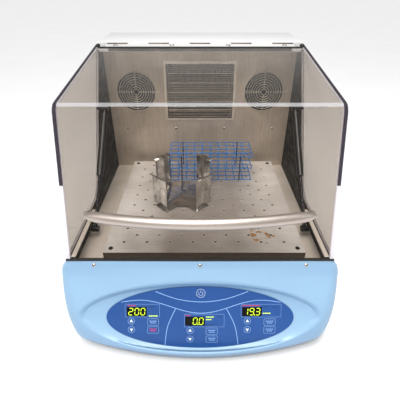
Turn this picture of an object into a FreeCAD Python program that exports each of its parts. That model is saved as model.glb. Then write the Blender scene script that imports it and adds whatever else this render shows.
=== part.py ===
import FreeCAD, Part
import os
import re
from math import atan2, pi, sqrt

import Sketcher
from FreeCAD import Placement, Rotation, Vector

# Incubated benchtop shaker, in millimetres.
# X points to the right, -Y to the front and Z up. The origin is on the surface that it
# stands on, under the middle of its bounding box.

doc = FreeCAD.newDocument("incubated_shaker")

SIZES = {
    # Cabinet
    "foot_height": 15, "foot_radius": 18, "foot_taper": 3, "foot_inset": 48,
    "case_half_width": 291, "side_wall": 5, "sheet": 1.5,
    "case_front_y": -291, "case_rear_y": 393, "case_top": 588,
    "hood_face_y": 190, "rim_z": 224,
    "rise_corner_y": -26, "rise_top_z": 564, "rise_radius": 80,
    "pan_gauge": 2, "pan_flange": 25,
    "gap": 0.3, "overrun": 1,
    # Chamber
    "liner_gauge": 2, "floor_top": 187, "back_wall_y": 230, "shaft_hole_radius": 15,
    "seal_height": 4, "seal_front_y": -296.5,
    "fan_x": 197.5, "fan_z": 441, "fan_opening": 60,
    "grille_half_width": 110, "grille_low": 350.5, "grille_high": 532, "grille_gauge": 1.2,
    "grille_margin": 9, "grille_bands": 6, "grille_band": 22,
    "grille_columns": 13, "grille_slot": 10,
    # Fan guards, frames and impellers
    "guard_rings": 8, "guard_wire": 2, "guard_sides": 16, "guard_first_ring": 10,
    "guard_screw_circle": 75, "guard_eye": 4.5,
    "frame_half": 63, "frame_depth": 38, "frame_bore": 58.5, "fan_strut": 6, "fan_strut_depth": 4,
    "motor_hub_radius": 21, "impeller_hub_radius": 20, "impeller_depth": 24,
    "blade_count": 7, "blade_tip": 56, "blade_chord": 20, "blade_lean": 14, "blade_gauge": 1.8,
    "fan_shaft_radius": 3, "fan_shaft_length": 8, "hub_web": 4,
    # Air heater
    "heater_half_length": 95, "heater_tube": 5, "heater_fins": 10, "heater_fin_side": 30,
    "heater_fin_gauge": 1, "heater_standoff": 28, "heater_pitch_z": 80,
    # Front bezel
    "bezel_wall": 3.5, "cheek_rear_y": -250, "cheek_top_z": 185,
    "rim_half": 291.5, "rim_front": -297, "rim_bulge": 2, "rim_corner": 8,
    "brow_z": 208, "brow_half": 296, "brow_front": -303, "brow_bulge": 3, "brow_corner": 14,
    "cheek_z": 190, "cheek_half": 300, "cheek_front": -313.5, "cheek_bulge": 8, "cheek_corner": 20,
    "belly_z": 110, "belly_half": 300, "belly_front": -360, "belly_bulge": 14, "belly_corner": 40,
    "lip_z": 45, "lip_half": 300, "lip_front": -396, "lip_bulge": 50, "lip_corner": 45,
    "hem_half": 300, "hem_front": -388, "hem_bulge": 56, "hem_corner": 56,
    # Control panel, set back in the bezel's dish
    "panel_y": -343.3, "panel_z": 99, "panel_tilt": 27,
    "panel_half_width": 210, "panel_half_height": 71, "panel_gauge": 1.5, "panel_ledge": 3,
    "dish_flare": 5, "dish_flare_half_width": 260, "dish_flare_half_height": 76,
    "dish_mouth": 34, "dish_mouth_half_width": 292, "dish_mouth_half_height": 81,
    "dish_mouth_rise": 14,
    "key_travel": 0.5, "key_proud": 0.4, "key_root": 1.2, "dome_radius": 3,
    "power_key_radius": 10.6, "arrow_key_radius": 8.2,
    "pad_key_width": 26.6, "pad_key_height": 16.6, "pad_key_corner": 2.5,
    "power_key_x": 1.8, "power_key_v": 56,
    "left_arrow_x": -154.3, "left_pad_x": -105.7, "outer_arrow_v": -8.8, "outer_pad_v": -10.9,
    "right_arrow_x": 106.4, "right_pad_x": 156.3,
    "center_arrow_x": -22.5, "center_pad_x": 26.4, "center_arrow_v": -31, "center_pad_v": -32.6,
    "arrow_pitch": 19.8, "pad_pitch": 18.6,
    "display_width": 44, "display_height": 21, "display_v": 13.1,
    "left_display_x": -141.8, "right_display_x": 116.3,
    "center_display_x": -11.2, "center_display_v": -9.3,
    "board_half_width": 186, "board_half_height": 34, "board_gauge": 1.6, "board_depth": 9,
    "board_drop": 7, "board_post_radius": 2.5, "board_post_inset": 3,
    # Lid
    "lid_sheet": 5, "lid_half_width": 289.5, "lid_rear_y": 183, "lid_rear_z": 583,
    "bend_y": -190, "bend_z": 532, "bend_radius": 25, "lid_front_y": -294,
    "strip_width": 25, "strip_gauge": 2.5,
    # Piano hinge
    "hinge_half_length": 257, "knuckle_radius": 3, "knuckle_count": 9, "pin_radius": 1.5,
    "leaf_gauge": 1.2, "leaf_height": 16, "hinge_setback": 3.5, "running_gap": 0.05,
    # Handle
    "handle_half_span": 240, "handle_bow": 42, "handle_radius": 11.5, "handle_z": 320,
    "handle_standoff": 12.5, "handle_post_radius": 8,
    # Gas struts, drawn with the lid closed
    "strut_x": 262, "strut_low_y": -164, "strut_low_z": 211, "strut_high_y": 85, "strut_high_z": 437,
    "rod_radius": 4, "cylinder_radius": 9, "cylinder_bore": 7.4, "cylinder_wall_end": 8,
    "cylinder_length": 180, "strut_neck": 16, "strut_eye_radius": 8, "strut_eye_half": 9,
    "piston_length": 12, "piston_clearance": 0.1, "piston_setback": 14,
    # Fasteners
    "screw_head_radius": 4.5, "screw_head": 2.5, "screw_shank_radius": 2, "screw_length": 7,
    "bezel_screw_x": 231, "bezel_screw_z": 214, "wall_screw_z": 322.6,
    "inner_screw_x": 79, "outer_screw_x": 236, "strip_screw_pitch": 154,
    # Orbital drive
    "orbit_radius": 9.5, "main_shaft_y": 40, "idler_x": 140, "idler_y": -130,
    "shaft_radius": 10, "shaft_head_radius": 24, "shaft_head": 8, "shaft_lift": 2,
    "crank_pin_radius": 7, "crank_pin": 16,
    "plate_top": 104, "plate_gauge": 8, "plate_half_width": 190, "plate_front_y": -175,
    "plate_rear_y": 215, "leg_radius": 10, "leg_inset": 16,
    "housing_flange_radius": 38, "housing_flange": 8, "housing_radius": 27, "housing_height": 64,
    "bearing_radius": 21, "bearing_width": 14, "housing_lip": 4,
    "main_pulley_radius": 62, "motor_pulley_radius": 18, "pulley_flange": 4, "pulley_rim": 3,
    "belt_width": 12, "belt_gauge": 3, "belt_z": 68, "motor_y": 185,
    "motor_radius": 42, "motor_height": 74, "motor_shaft_radius": 5, "motor_shaft_depth": 26,
    "weight_radius": 56, "weight_height": 10, "weight_gap": 2,
    # Carrier and platform
    "carrier_half": 220, "carrier_gauge": 6, "carrier_bar": 34, "boss_radius": 15,
    "platform_y": -35.4, "platform_side": 457.2, "platform_sheet": 3, "platform_top": 220,
    "platform_skirt": 28, "hole_radius": 2.6, "hole_pitch": 53.5, "hole_row_pitch": 26,
    "hole_columns": 8, "hole_row_pairs": 8, "hole_first_row": 37,
    "corner_screw_inset": 15, "corner_head_radius": 5.5, "corner_head": 3,
    # Flask clamp
    "clamp_x": -48.5, "clamp_y": -13, "clamp_sheet": 2, "clamp_reach": 83, "clamp_arm_half": 27,
    "clamp_notch": 61, "clamp_notch_half": 42, "clamp_ear": 12, "clamp_ear_near": 9,
    "clamp_ear_far": 41, "clamp_height": 84, "clamp_lip": 9, "clamp_lip_rise": 5,
    "clamp_screw_inset": 45,
    # Tube rack
    "rack_x": 32, "rack_y": 118.5, "rack_half_width": 124, "rack_half_depth": 53, "rack_height": 80,
    "rack_wire": 3, "rack_columns": 10, "rack_rows": 4, "rack_tiers": 3, "rack_rod_inset": 36,
    # Rear panel, mains inlet and rocker switch
    "louvre_count": 9, "louvre_length": 150, "louvre_height": 5, "louvre_pitch": 12,
    "louvre_x": 150, "upper_louvre_z": 440, "lower_louvre_z": 60,
    "inlet_x": -215, "inlet_z": 100, "inlet_half_width": 18, "inlet_half_height": 32,
    "inlet_flange": 3, "inlet_border": 5, "inlet_depth": 34,
    "socket_half_width": 12.5, "socket_half_height": 9, "socket_depth": 20, "socket_drop": 15,
    "blade_pin_width": 2, "blade_pin_height": 6, "blade_pin_pitch": 7,
    "rocker_half_width": 7, "rocker_half_height": 10, "rocker_depth": 7, "rocker_tilt": 8,
    "rocker_rise": 16, "rocker_pit_depth": 16, "rocker_clearance": 1.2, "rocker_pin_radius": 1.5,
}

# The sheet holds the driving sizes, and below them the sizes worked out from them.

sheet = doc.addObject("Spreadsheet::Sheet", "Dims")
cells = []


def add_cell(alias, content):
    cells.append(alias)
    row = str(len(cells))
    sheet.set("A" + row, alias)
    sheet.set("B" + row, str(content))
    sheet.setAlias("B" + row, alias)


def derive(alias, formula):
    """Add a size that the sheet works out from the ones above it."""
    add_cell(alias, "=" + formula)
    return alias


for size_name, size_value in SIZES.items():
    add_cell(size_name, size_value)

# The edge of the side walls: level at the front, a quarter bend, then a straight rise.
derive("chamber_half", "case_half_width - side_wall - liner_gauge")
derive("rise_angle", "atan((rise_top_z - rim_z) / (hood_face_y - rise_corner_y)) / 1 deg")
derive("rise_start_y", "rise_corner_y - rise_radius * tan(rise_angle / 2)")
derive("lid_offset", "seal_height + gap")
# The lid's two flat faces and the inside corner between them.
derive("lid_foot_z", "rim_z + lid_offset")
derive("lid_top_angle", "atan((lid_rear_z - bend_z) / (lid_rear_y - bend_y)) / 1 deg")
derive("lid_front_angle", "atan((bend_z - lid_foot_z) / (bend_y - lid_front_y)) / 1 deg")
derive("inner_bend_y",
       "bend_y + (lid_sheet / sin(lid_front_angle) - lid_sheet / cos(lid_top_angle)"
       " / tan(lid_front_angle)) / (1 - tan(lid_top_angle) / tan(lid_front_angle))")
derive("inner_bend_z",
       "bend_z + (inner_bend_y - bend_y) * tan(lid_top_angle) - lid_sheet / cos(lid_top_angle)")
derive("hinge_y", "hood_face_y - hinge_setback")
derive("hinge_z", "case_top - knuckle_radius")
derive("knuckle_pitch", "2 * hinge_half_length / knuckle_count")
# The handle is an arc bowed out of the plane of the lid's front.
derive("handle_arc", "(handle_half_span^2 + handle_bow^2) / (2 * handle_bow)")
derive("handle_face_y", "bend_y + (handle_z - bend_z) / tan(lid_front_angle)")
derive("handle_sink", "handle_arc - handle_standoff - handle_bow")
# The struts, from the lower ball to the upper one.
derive("strut_angle",
       "atan((strut_high_z - strut_low_z) / (strut_high_y - strut_low_y)) / 1 deg")
derive("strut_length",
       "sqrt((strut_high_y - strut_low_y)^2 + (strut_high_z - strut_low_z)^2)")
# Heights in the drive, from the plate up to the platform.
derive("platform_under", "platform_top - platform_sheet")
derive("head_low", "floor_top + shaft_lift")
derive("head_top", "head_low + shaft_head")
derive("pin_top", "head_top + crank_pin")
derive("housing_top", "plate_top + housing_height")
derive("belt_drop", "(main_pulley_radius - motor_pulley_radius) / (motor_y - main_shaft_y)")
derive("belt_side", "sqrt(1 - belt_drop^2)")
derive("panel_swing", "90 - panel_tilt")
# Tangent points on the bezel's level sections, for its outer skin and its inner core.
for name in ("rim", "brow", "cheek", "belly", "lip", "hem"):
    for tag, inset in ((f"{name}_skin", "0"), (f"{name}_core", "bezel_wall")):
        half, corner = f"({name}_half - {inset})", f"({name}_corner - {inset})"
        derive(tag + "_arc", f"({half}^2 + {name}_bulge^2) / (2 * {name}_bulge)")
        derive(tag + "_mid", f"{name}_front + {inset} + {tag}_arc")
        derive(tag + "_side",
               f"{tag}_mid - sqrt(({tag}_arc - {corner})^2 - ({half} - {corner})^2)")
        derive(tag + "_turn_x", f"({half} - {corner}) * {tag}_arc / ({tag}_arc - {corner})")
        derive(tag + "_turn_y",
               f"{tag}_mid - ({tag}_mid - {tag}_side) * {tag}_arc / ({tag}_arc - {corner})")
derive("rack_pitch_x", "(2 * rack_half_width - rack_wire) / rack_columns")
derive("rack_pitch_y", "(2 * rack_half_depth - rack_wire) / rack_rows")
doc.recompute()

NAMES = set(cells)
WORD = re.compile(r"[a-z][a-z_0-9]*")
nodes = []
cuts = []


def full(text):
    """Write an expression out with the sheet's name before each of its sizes."""
    return WORD.sub(lambda word: "Dims." + word[0] if word[0] in NAMES else word[0], str(text))


def number(text):
    """Work an expression out, as millimetres, degrees or a plain count."""
    result = sheet.evalExpression(full(text))
    return float(getattr(result, "Value", result))


# Sketches: outlines and circles whose points are bound to the sheet

def origin_feature(body, role):
    return next(feature for feature in body.Origin.OriginFeatures if feature.Role == role)


def new_sketch(body, role, level="0"):
    """A sketch on one of the body's own origin planes, lifted off it along its normal."""
    sketch = body.newObject("Sketcher::SketchObject", body.Label + "_sketch")
    sketch.AttachmentSupport = (origin_feature(body, role), "")
    sketch.MapMode = "FlatFace"
    sketch.setExpression("AttachmentOffset.Base.z", full(level))
    return sketch


def bound_point(curve, position, x, y):
    """Constraints, each with the expression that drives it, that hold a point at x and y."""
    bound = []
    for axis, kind, text in ((-2, "DistanceX", x), (-1, "DistanceY", y)):
        if str(text) == "0":
            bound.append((Sketcher.Constraint("PointOnObject", curve, position, axis), None))
        else:
            constraint = Sketcher.Constraint(kind, -1, 1, curve, position, number(text))
            bound.append((constraint, text))
    return bound


def bind(sketch, bound):
    indices = sketch.addConstraint([constraint for constraint, _ in bound])
    for index, (_, text) in zip(indices, bound):
        if text:
            sketch.setExpression(f"Constraints[{index}]", full(text))


def arc_between(start, end, radius):
    """The shorter arc from start to end. A positive radius turns left, a negative one right."""
    chord = end - start
    left = Vector(-chord.y, chord.x, 0).normalize()
    rise = sqrt(max(radius ** 2 - (chord.Length / 2) ** 2, 0))
    center = (start + end) / 2 + left * (rise if radius > 0 else -rise)
    first, last = (start, end) if radius > 0 else (end, start)
    low = atan2(first.y - center.y, first.x - center.x)
    high = atan2(last.y - center.y, last.x - center.x)
    if high < low:
        high += 2 * pi
    return Part.ArcOfCircle(Part.Circle(center, Vector(0, 0, 1), abs(radius)), low, high)


def outline(sketch, corners):
    """Close an outline through (x, y) corners. A third value is the radius of an arc to it."""
    points = [Vector(number(corner[0]), number(corner[1]), 0) for corner in corners]
    bound, ends = [], []
    for index, corner in enumerate(corners):
        start, end = points[index - 1], points[index]
        if len(corner) == 2:
            curve = sketch.addGeometry(Part.LineSegment(start, end))
            ends.append((curve, 1, 2))
            continue
        radius = number(corner[2])
        curve = sketch.addGeometry(arc_between(start, end, radius))
        ends.append((curve, 1, 2) if radius > 0 else (curve, 2, 1))
        constraint = Sketcher.Constraint("Radius", curve, abs(radius))
        bound.append((constraint, f"abs({corner[2]})"))
    for index, (curve, first, last) in enumerate(ends):
        before, _, joint = ends[index - 1]
        bound.append((Sketcher.Constraint("Coincident", before, joint, curve, first), None))
        bound += bound_point(curve, last, *corners[index][:2])
    return bound


def circle(sketch, x, y, radius):
    center = Vector(number(x), number(y), 0)
    curve = sketch.addGeometry(Part.Circle(center, Vector(0, 0, 1), number(radius)))
    constraint = Sketcher.Constraint("Radius", curve, number(radius))
    return bound_point(curve, 3, x, y) + [(constraint, radius)]


def ellipse(sketch, half_width, half_height, rise="0"):
    """An ellipse on the sketch's upright axis, wider than it is high."""
    center = Vector(0, number(rise), 0)
    sketch.addGeometry(Part.Ellipse(center, number(half_width), number(half_height)))
    sketch.exposeInternalGeometry(0)
    bound = bound_point(0, 3, "0", rise) + [(Sketcher.Constraint("Horizontal", 1), None)]
    for line, half in ((1, half_width), (2, half_height)):
        bound.append((Sketcher.Constraint("Distance", line, 2 * number(half)), f"2 * ({half})"))
    bind(sketch, bound)


def box(x_low, x_high, y_low, y_high):
    return [(x_low, y_low), (x_high, y_low), (x_high, y_high), (x_low, y_high)]


def draw(sketch, *shapes):
    """Draw outlines, given as lists of corners, and circles, given as x, y and radius."""
    bound = []
    for shape in shapes:
        bound += outline(sketch, shape) if isinstance(shape, list) else circle(sketch, *shape)
    bind(sketch, bound)


# Features: each takes its body, the plane of its sketch and what is drawn there

def new_body(label, node=True):
    body = doc.addObject("PartDesign::Body", label)
    body.Label = label
    if node:
        nodes.append(body)
    return body


def add_feature(body, kind):
    feature = body.newObject("PartDesign::" + kind, body.Label + "_" + kind.lower())
    body.Tip = feature
    return feature


def prism(body, role, low, high, *shapes):
    """Pad shapes between two levels along the axis that is square to the plane."""
    level = f"-({high})" if role == "XZ_Plane" else low
    sketch = new_sketch(body, role, level)
    draw(sketch, *shapes)
    feature = add_feature(body, "Pad")
    feature.Profile = sketch
    feature.setExpression("Length", full(f"({high}) - ({low})"))
    return feature


def hollow(body, role, low, high, *shapes):
    """Cut shapes out between two levels. A pocket runs against its sketch's normal."""
    level = f"-({low})" if role == "XZ_Plane" else high
    sketch = new_sketch(body, role, level)
    draw(sketch, *shapes)
    feature = add_feature(body, "Pocket")
    feature.Profile = sketch
    feature.setExpression("Length", full(f"({high}) - ({low})"))
    cuts.append(feature)
    return feature


def turned(body, role, corners, axis="V_Axis"):
    """Turn an outline round the sketch's upright or level axis."""
    sketch = new_sketch(body, role)
    draw(sketch, corners)
    feature = add_feature(body, "Revolution")
    feature.Profile = sketch
    feature.ReferenceAxis = (sketch, [axis])
    feature.Angle = 360
    return feature


def loft(body, kind, sketches):
    feature = add_feature(body, kind)
    feature.Profile = sketches[0]
    feature.Sections = sketches[1:]
    feature.Ruled = True
    if kind == "SubtractiveLoft":
        cuts.append(feature)
    return feature


def repeat(body, feature, *rows):
    """Copy a feature in rows, each given by the axis it runs along, its pitch and its count."""
    patterns = []
    grid = body.newObject("PartDesign::MultiTransform", body.Label + "_grid")
    grid.Originals = [feature]
    for role, pitch, count in rows:
        pattern = body.newObject("PartDesign::LinearPattern", body.Label + "_row")
        pattern.Direction = (origin_feature(body, role), [""])
        pattern.setExpression("Occurrences", full(count))
        pattern.setExpression("Length", full(f"({pitch}) * ({count} - 1)"))
        patterns.append(pattern)
    grid.Transformations = patterns
    body.Tip = grid
    return grid


def repeat_round(body, feature, role, count):
    """Copy a feature evenly round one of the body's axes."""
    pattern = body.newObject("PartDesign::PolarPattern", body.Label + "_ring")
    pattern.Originals = [feature]
    pattern.Axis = (origin_feature(body, role), [""])
    pattern.Angle = 360
    pattern.setExpression("Occurrences", full(count))
    body.Tip = pattern
    return pattern


def place(item, x, y, z, axis=None, angle="0"):
    """Set an object down at a point, turned about an axis through it."""
    turn = Rotation(axis or Vector(0, 0, 1), number(angle))
    item.Placement = Placement(Vector(number(x), number(y), number(z)), turn)
    for letter, text in zip("xyz", (x, y, z)):
        item.setExpression("Placement.Base." + letter, full(text))
    if axis:
        item.setExpression("Placement.Rotation.Angle", full(angle))
    return item


def primitive(kind, label, **sizes):
    item = doc.addObject("Part::" + kind, label)
    for name, text in sizes.items():
        item.setExpression(name, full(text))
    return item


def group(label, pieces):
    """One node made of separate pieces, or of pieces that are welded together."""
    node = doc.addObject("Part::MultiFuse", label)
    node.Label = label
    node.Shapes = pieces
    nodes.append(node)
    return node


def screw(name, x, y, z, axis, angle, head_radius="screw_head_radius", head="screw_head"):
    """A pan head screw seated at a point; unturned, its head points up."""
    top = primitive("Cylinder", name + "_head", Radius=head_radius, Height=head)
    shank = primitive("Cylinder", name + "_shank", Radius="screw_shank_radius",
                      Height="screw_length")
    turn = Rotation(axis, number(angle))
    down = turn.multVec(Vector(0, 0, -1))
    place(top, x, y, z, axis, angle)
    shank_points = [f"({text}) + screw_length * ({share:.12g})"
                    for text, share in zip((x, y, z), down)]
    place(shank, *shank_points, axis, angle)
    return [top, shank]


AXIS_X = Vector(1, 0, 0)


# Cabinet

def rise(offset):
    """The side wall's upper edge, moved out square to itself, from the bend to the rise."""
    start_y = "rise_start_y"
    end_y = f"(rise_start_y + (rise_radius - ({offset})) * sin(rise_angle))"
    end_z = f"(rim_z + rise_radius - (rise_radius - ({offset})) * cos(rise_angle))"
    return start_y, end_y, end_z


def rise_height(offset, y):
    _, end_y, end_z = rise(offset)
    return f"({end_z} + ({y} - {end_y}) * tan(rise_angle))"


def wall_edge(offset, last_y):
    """Corners along the edge, from the level part back to last_y."""
    start_y, end_y, end_z = rise(offset)
    return [(start_y, f"rim_z + {offset}"),
            (end_y, end_z, f"rise_radius - ({offset})"),
            (last_y, rise_height(offset, last_y))]


def make_base_pan():
    pan = new_body("base_pan")
    half = "case_half_width - side_wall - gap"
    front = "case_front_y + sheet + gap"
    rear = "case_rear_y - sheet - gap"
    prism(pan, "XY_Plane", "foot_height", "foot_height + pan_flange",
          box(f"-({half})", half, front, rear))
    hollow(pan, "XY_Plane", "foot_height + pan_gauge", "foot_height + pan_flange",
           box(f"-({half} - pan_gauge)", f"{half} - pan_gauge",
               f"{front} + pan_gauge", f"{rear} - pan_gauge"))


def make_feet():
    feet = []
    for x in ("case_half_width - foot_inset", "-(case_half_width - foot_inset)"):
        for y in ("case_front_y + foot_inset", "case_rear_y - foot_inset"):
            foot = primitive("Cone", "foot", Radius1="foot_radius - foot_taper",
                             Radius2="foot_radius", Height="foot_height")
            feet.append(place(foot, x, y, "0"))
    group("feet", feet)


def make_cabinet_shell():
    shell = new_body("cabinet_shell")
    half = "case_half_width"
    prism(shell, "YZ_Plane", f"-{half}", half,
          [("case_front_y", "foot_height"), ("case_front_y", "rim_z")]
          + wall_edge("0", "hood_face_y")
          + [("hood_face_y", "case_top"), ("case_rear_y", "case_top"),
             ("case_rear_y", "foot_height")])
    inner = "case_half_width - side_wall"
    hollow(shell, "YZ_Plane", f"-({inner})", inner,
           [("case_front_y - overrun", "foot_height - overrun"),
            ("case_front_y - overrun", "case_top + overrun"),
            ("hood_face_y", "case_top + overrun"),
            ("hood_face_y", "rise_top_z"),
            ("hood_face_y + sheet", "rise_top_z"),
            ("hood_face_y + sheet", "case_top - sheet"),
            ("case_rear_y + overrun", "case_top - sheet"),
            ("case_rear_y + overrun", "foot_height - overrun")])


def make_rear_panel():
    panel = new_body("rear_panel")
    half = "(case_half_width - side_wall - gap)"
    prism(panel, "XZ_Plane", "case_rear_y - sheet", "case_rear_y",
          box(f"-{half}", half, "foot_height + gap", "case_top - sheet - gap"))
    low, high = "case_rear_y - sheet - overrun", "case_rear_y + overrun"
    for x in ("-louvre_x", "louvre_x"):
        slot = hollow(panel, "XZ_Plane", low, high,
                      box(f"{x} - louvre_length / 2", f"{x} + louvre_length / 2",
                          "upper_louvre_z", "upper_louvre_z + louvre_height"))
        repeat(panel, slot, ("Z_Axis", "louvre_pitch", "louvre_count"))
    slot = hollow(panel, "XZ_Plane", low, high,
                  box("louvre_x - louvre_length / 2", "louvre_x + louvre_length / 2",
                      "lower_louvre_z", "lower_louvre_z + louvre_height"))
    repeat(panel, slot, ("Z_Axis", "louvre_pitch", "louvre_count"))
    hollow(panel, "XZ_Plane", low, high,
           box("inlet_x - inlet_half_width - gap", "inlet_x + inlet_half_width + gap",
               "inlet_z - inlet_half_height - gap", "inlet_z + inlet_half_height + gap"))


ROCKER_AXIS = ("(case_rear_y + inlet_flange - rocker_depth / 2"
               " - rocker_half_height * sin(rocker_tilt))", "(inlet_z + rocker_rise)")


def make_power_inlet():
    inlet = new_body("power_inlet")
    wide, high = "(inlet_half_width + inlet_border)", "(inlet_half_height + inlet_border)"
    prism(inlet, "XZ_Plane", "case_rear_y", "case_rear_y + inlet_flange",
          box(f"inlet_x - {wide}", f"inlet_x + {wide}", f"inlet_z - {high}", f"inlet_z + {high}"))
    prism(inlet, "XZ_Plane", "case_rear_y - inlet_depth", "case_rear_y",
          box("inlet_x - inlet_half_width", "inlet_x + inlet_half_width",
              "inlet_z - inlet_half_height", "inlet_z + inlet_half_height"))
    mouth = "case_rear_y + inlet_flange"
    socket_z = "(inlet_z - socket_drop)"
    hollow(inlet, "XZ_Plane", f"{mouth} - socket_depth", f"{mouth} + overrun",
           box("inlet_x - socket_half_width", "inlet_x + socket_half_width",
               f"{socket_z} - socket_half_height", f"{socket_z} + socket_half_height"))
    rocker_y, rocker_z = ROCKER_AXIS
    half_width = "(rocker_half_width + gap)"
    half_height = "(rocker_half_height + rocker_clearance)"
    hollow(inlet, "XZ_Plane", f"{mouth} - rocker_pit_depth", f"{mouth} + overrun",
           box(f"inlet_x - {half_width}", f"inlet_x + {half_width}",
               f"{rocker_z} - {half_height}", f"{rocker_z} + {half_height}"))
    pins = [box(f"inlet_x + {place_x} - blade_pin_width / 2", f"inlet_x + {place_x} + blade_pin_width / 2",
                f"{socket_z} + {lift} - blade_pin_height / 2",
                f"{socket_z} + {lift} + blade_pin_height / 2")
            for place_x, lift in (("-blade_pin_pitch", "-blade_pin_height / 4"),
                                  ("blade_pin_pitch", "-blade_pin_height / 4"),
                                  ("0", "blade_pin_height / 4"))]
    prism(inlet, "XZ_Plane", f"{mouth} - socket_depth", f"{mouth} - inlet_flange", *pins)
    prism(inlet, "YZ_Plane", f"inlet_x - {half_width}", f"inlet_x + {half_width}",
          (rocker_y, rocker_z, "rocker_pin_radius"))


def make_power_rocker():
    """The rocker turns on the inlet's pin, half its depth inside the flange."""
    rocker = new_body("power_rocker")
    prism(rocker, "YZ_Plane", "-rocker_half_width", "rocker_half_width",
          [("-rocker_depth / 2", "-rocker_half_height + rocker_clearance"),
           ("rocker_depth / 2", "-rocker_half_height"),
           ("rocker_depth / 2 - gap * 4", "0"),
           ("rocker_depth / 2", "rocker_half_height"),
           ("-rocker_depth / 2", "rocker_half_height - rocker_clearance")])
    hollow(rocker, "YZ_Plane", "-rocker_half_width - overrun", "rocker_half_width + overrun",
           ("0", "0", "rocker_pin_radius + running_gap"))
    place(rocker, "inlet_x", *ROCKER_AXIS, AXIS_X, "rocker_tilt")


# Chamber

def make_chamber_floor():
    floor = new_body("chamber_floor")
    under = "(floor_top - sheet)"
    prism(floor, "YZ_Plane", "-chamber_half", "chamber_half",
          [("case_front_y", under), ("back_wall_y", under), ("back_wall_y", "floor_top"),
           ("case_front_y + sheet", "floor_top"), ("case_front_y + sheet", "rim_z"),
           ("case_front_y", "rim_z")])
    hollow(floor, "XY_Plane", f"{under} - overrun", "floor_top + overrun",
           ("0", "main_shaft_y", "shaft_hole_radius"),
           ("idler_x", "idler_y", "shaft_hole_radius"),
           ("-idler_x", "idler_y", "shaft_hole_radius"))


def make_back_wall():
    wall = new_body("back_wall")
    behind = "(back_wall_y + sheet)"
    prism(wall, "YZ_Plane", "-chamber_half", "chamber_half",
          [("back_wall_y", "floor_top - sheet"), (behind, "floor_top - sheet"),
           (behind, "rise_top_z + sheet"), ("hood_face_y + sheet", "rise_top_z + sheet"),
           ("hood_face_y + sheet", "rise_top_z"), ("back_wall_y", "rise_top_z")])
    hollow(wall, "XZ_Plane", "back_wall_y - overrun", f"{behind} + overrun",
           ("-fan_x", "fan_z", "fan_opening"), ("fan_x", "fan_z", "fan_opening"),
           box("-(grille_half_width - grille_margin / 2)", "grille_half_width - grille_margin / 2",
               "grille_low + grille_margin / 2", "grille_high - grille_margin / 2"))


def make_side_liners():
    liners = new_body("side_liners")
    half = "case_half_width - side_wall"
    prism(liners, "YZ_Plane", f"-({half})", half,
          [("case_front_y", "floor_top - sheet"), ("case_front_y", "rim_z")]
          + wall_edge("0", "hood_face_y")
          + [("back_wall_y + sheet", "rise_top_z"), ("back_wall_y + sheet", "floor_top - sheet")])
    hollow(liners, "YZ_Plane", "-chamber_half", "chamber_half",
           box("case_front_y - overrun", "back_wall_y + sheet + overrun",
               "floor_top - sheet - overrun", "case_top"))


def make_lid_seal():
    seal = new_body("lid_seal")
    last_y = "(hood_face_y - gap)"
    lower = wall_edge("0", last_y)
    upper = wall_edge("seal_height", last_y)
    start, bend, top = upper
    prism(seal, "YZ_Plane", "-case_half_width", "case_half_width",
          [("seal_front_y", "rim_z")] + lower
          + [top, bend[:2], (start[0], start[1], "-(rise_radius - seal_height)"),
             ("seal_front_y", "rim_z + seal_height")])
    hollow(seal, "YZ_Plane", "-chamber_half", "chamber_half",
           box("case_front_y + sheet", "case_rear_y", "rim_z - overrun", "case_top"))


def make_intake_grille():
    grille = new_body("intake_grille")
    half = "grille_half_width"
    prism(grille, "XZ_Plane", "back_wall_y - grille_gauge", "back_wall_y",
          box(f"-{half}", half, "grille_low", "grille_high"))
    pitch = "((2 * (grille_half_width - grille_margin) - grille_slot) / (grille_columns - 1))"
    band_pitch = "((grille_high - grille_low - 2 * grille_margin - grille_band) / (grille_bands - 1))"
    left, low = "(grille_margin - grille_half_width)", "(grille_low + grille_margin)"
    slot = hollow(grille, "XZ_Plane", "back_wall_y - grille_gauge - overrun",
                  "back_wall_y + overrun",
                  box(left, f"{left} + grille_slot", low, f"{low} + grille_band"))
    repeat(grille, slot, ("X_Axis", pitch, "grille_columns"),
           ("Z_Axis", band_pitch, "grille_bands"))


def make_fan_guards():
    """Two guards of wire rings on four spokes, each spoke ending in a screw eye."""
    pieces = []
    ring_pitch = "((fan_opening - guard_first_ring) / (guard_rings - 1))"
    rings_y = "back_wall_y - guard_wire"
    for side in ("-", ""):
        for index in range(round(number("guard_rings"))):
            radius = f"(guard_first_ring + {index} * {ring_pitch})"
            rim = primitive("Prism", "guard_ring", Polygon="guard_sides", Circumradius=radius,
                            Height="guard_wire")
            bore = primitive("Prism", "guard_ring_bore", Polygon="guard_sides",
                             Circumradius=f"{radius} - guard_wire", Height="guard_wire")
            for piece in (rim, bore):
                place(piece, f"{side}fan_x", rings_y, "fan_z", AXIS_X, "90")
            ring = doc.addObject("Part::Cut", "guard_ring_wire")
            ring.Base, ring.Tool = rim, bore
            pieces.append(ring)
        spokes = new_body("guard_spokes", node=False)
        reach, half = "guard_screw_circle", "guard_wire / 2"
        prism(spokes, "XZ_Plane", "back_wall_y - guard_wire", "back_wall_y",
              box(f"-{reach}", reach, f"-{half}", half))
        prism(spokes, "XZ_Plane", "back_wall_y - guard_wire", "back_wall_y",
              box(f"-({half})", half, f"-{reach}", reach))
        for x, z in ((reach, "0"), (f"-{reach}", "0"), ("0", reach), ("0", f"-{reach}")):
            prism(spokes, "XZ_Plane", "back_wall_y - guard_wire", "back_wall_y",
                  (x, z, "guard_eye"))
        place(spokes, f"{side}fan_x", "0", "fan_z")
        pieces.append(spokes)
    group("fan_guards", pieces)


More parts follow.
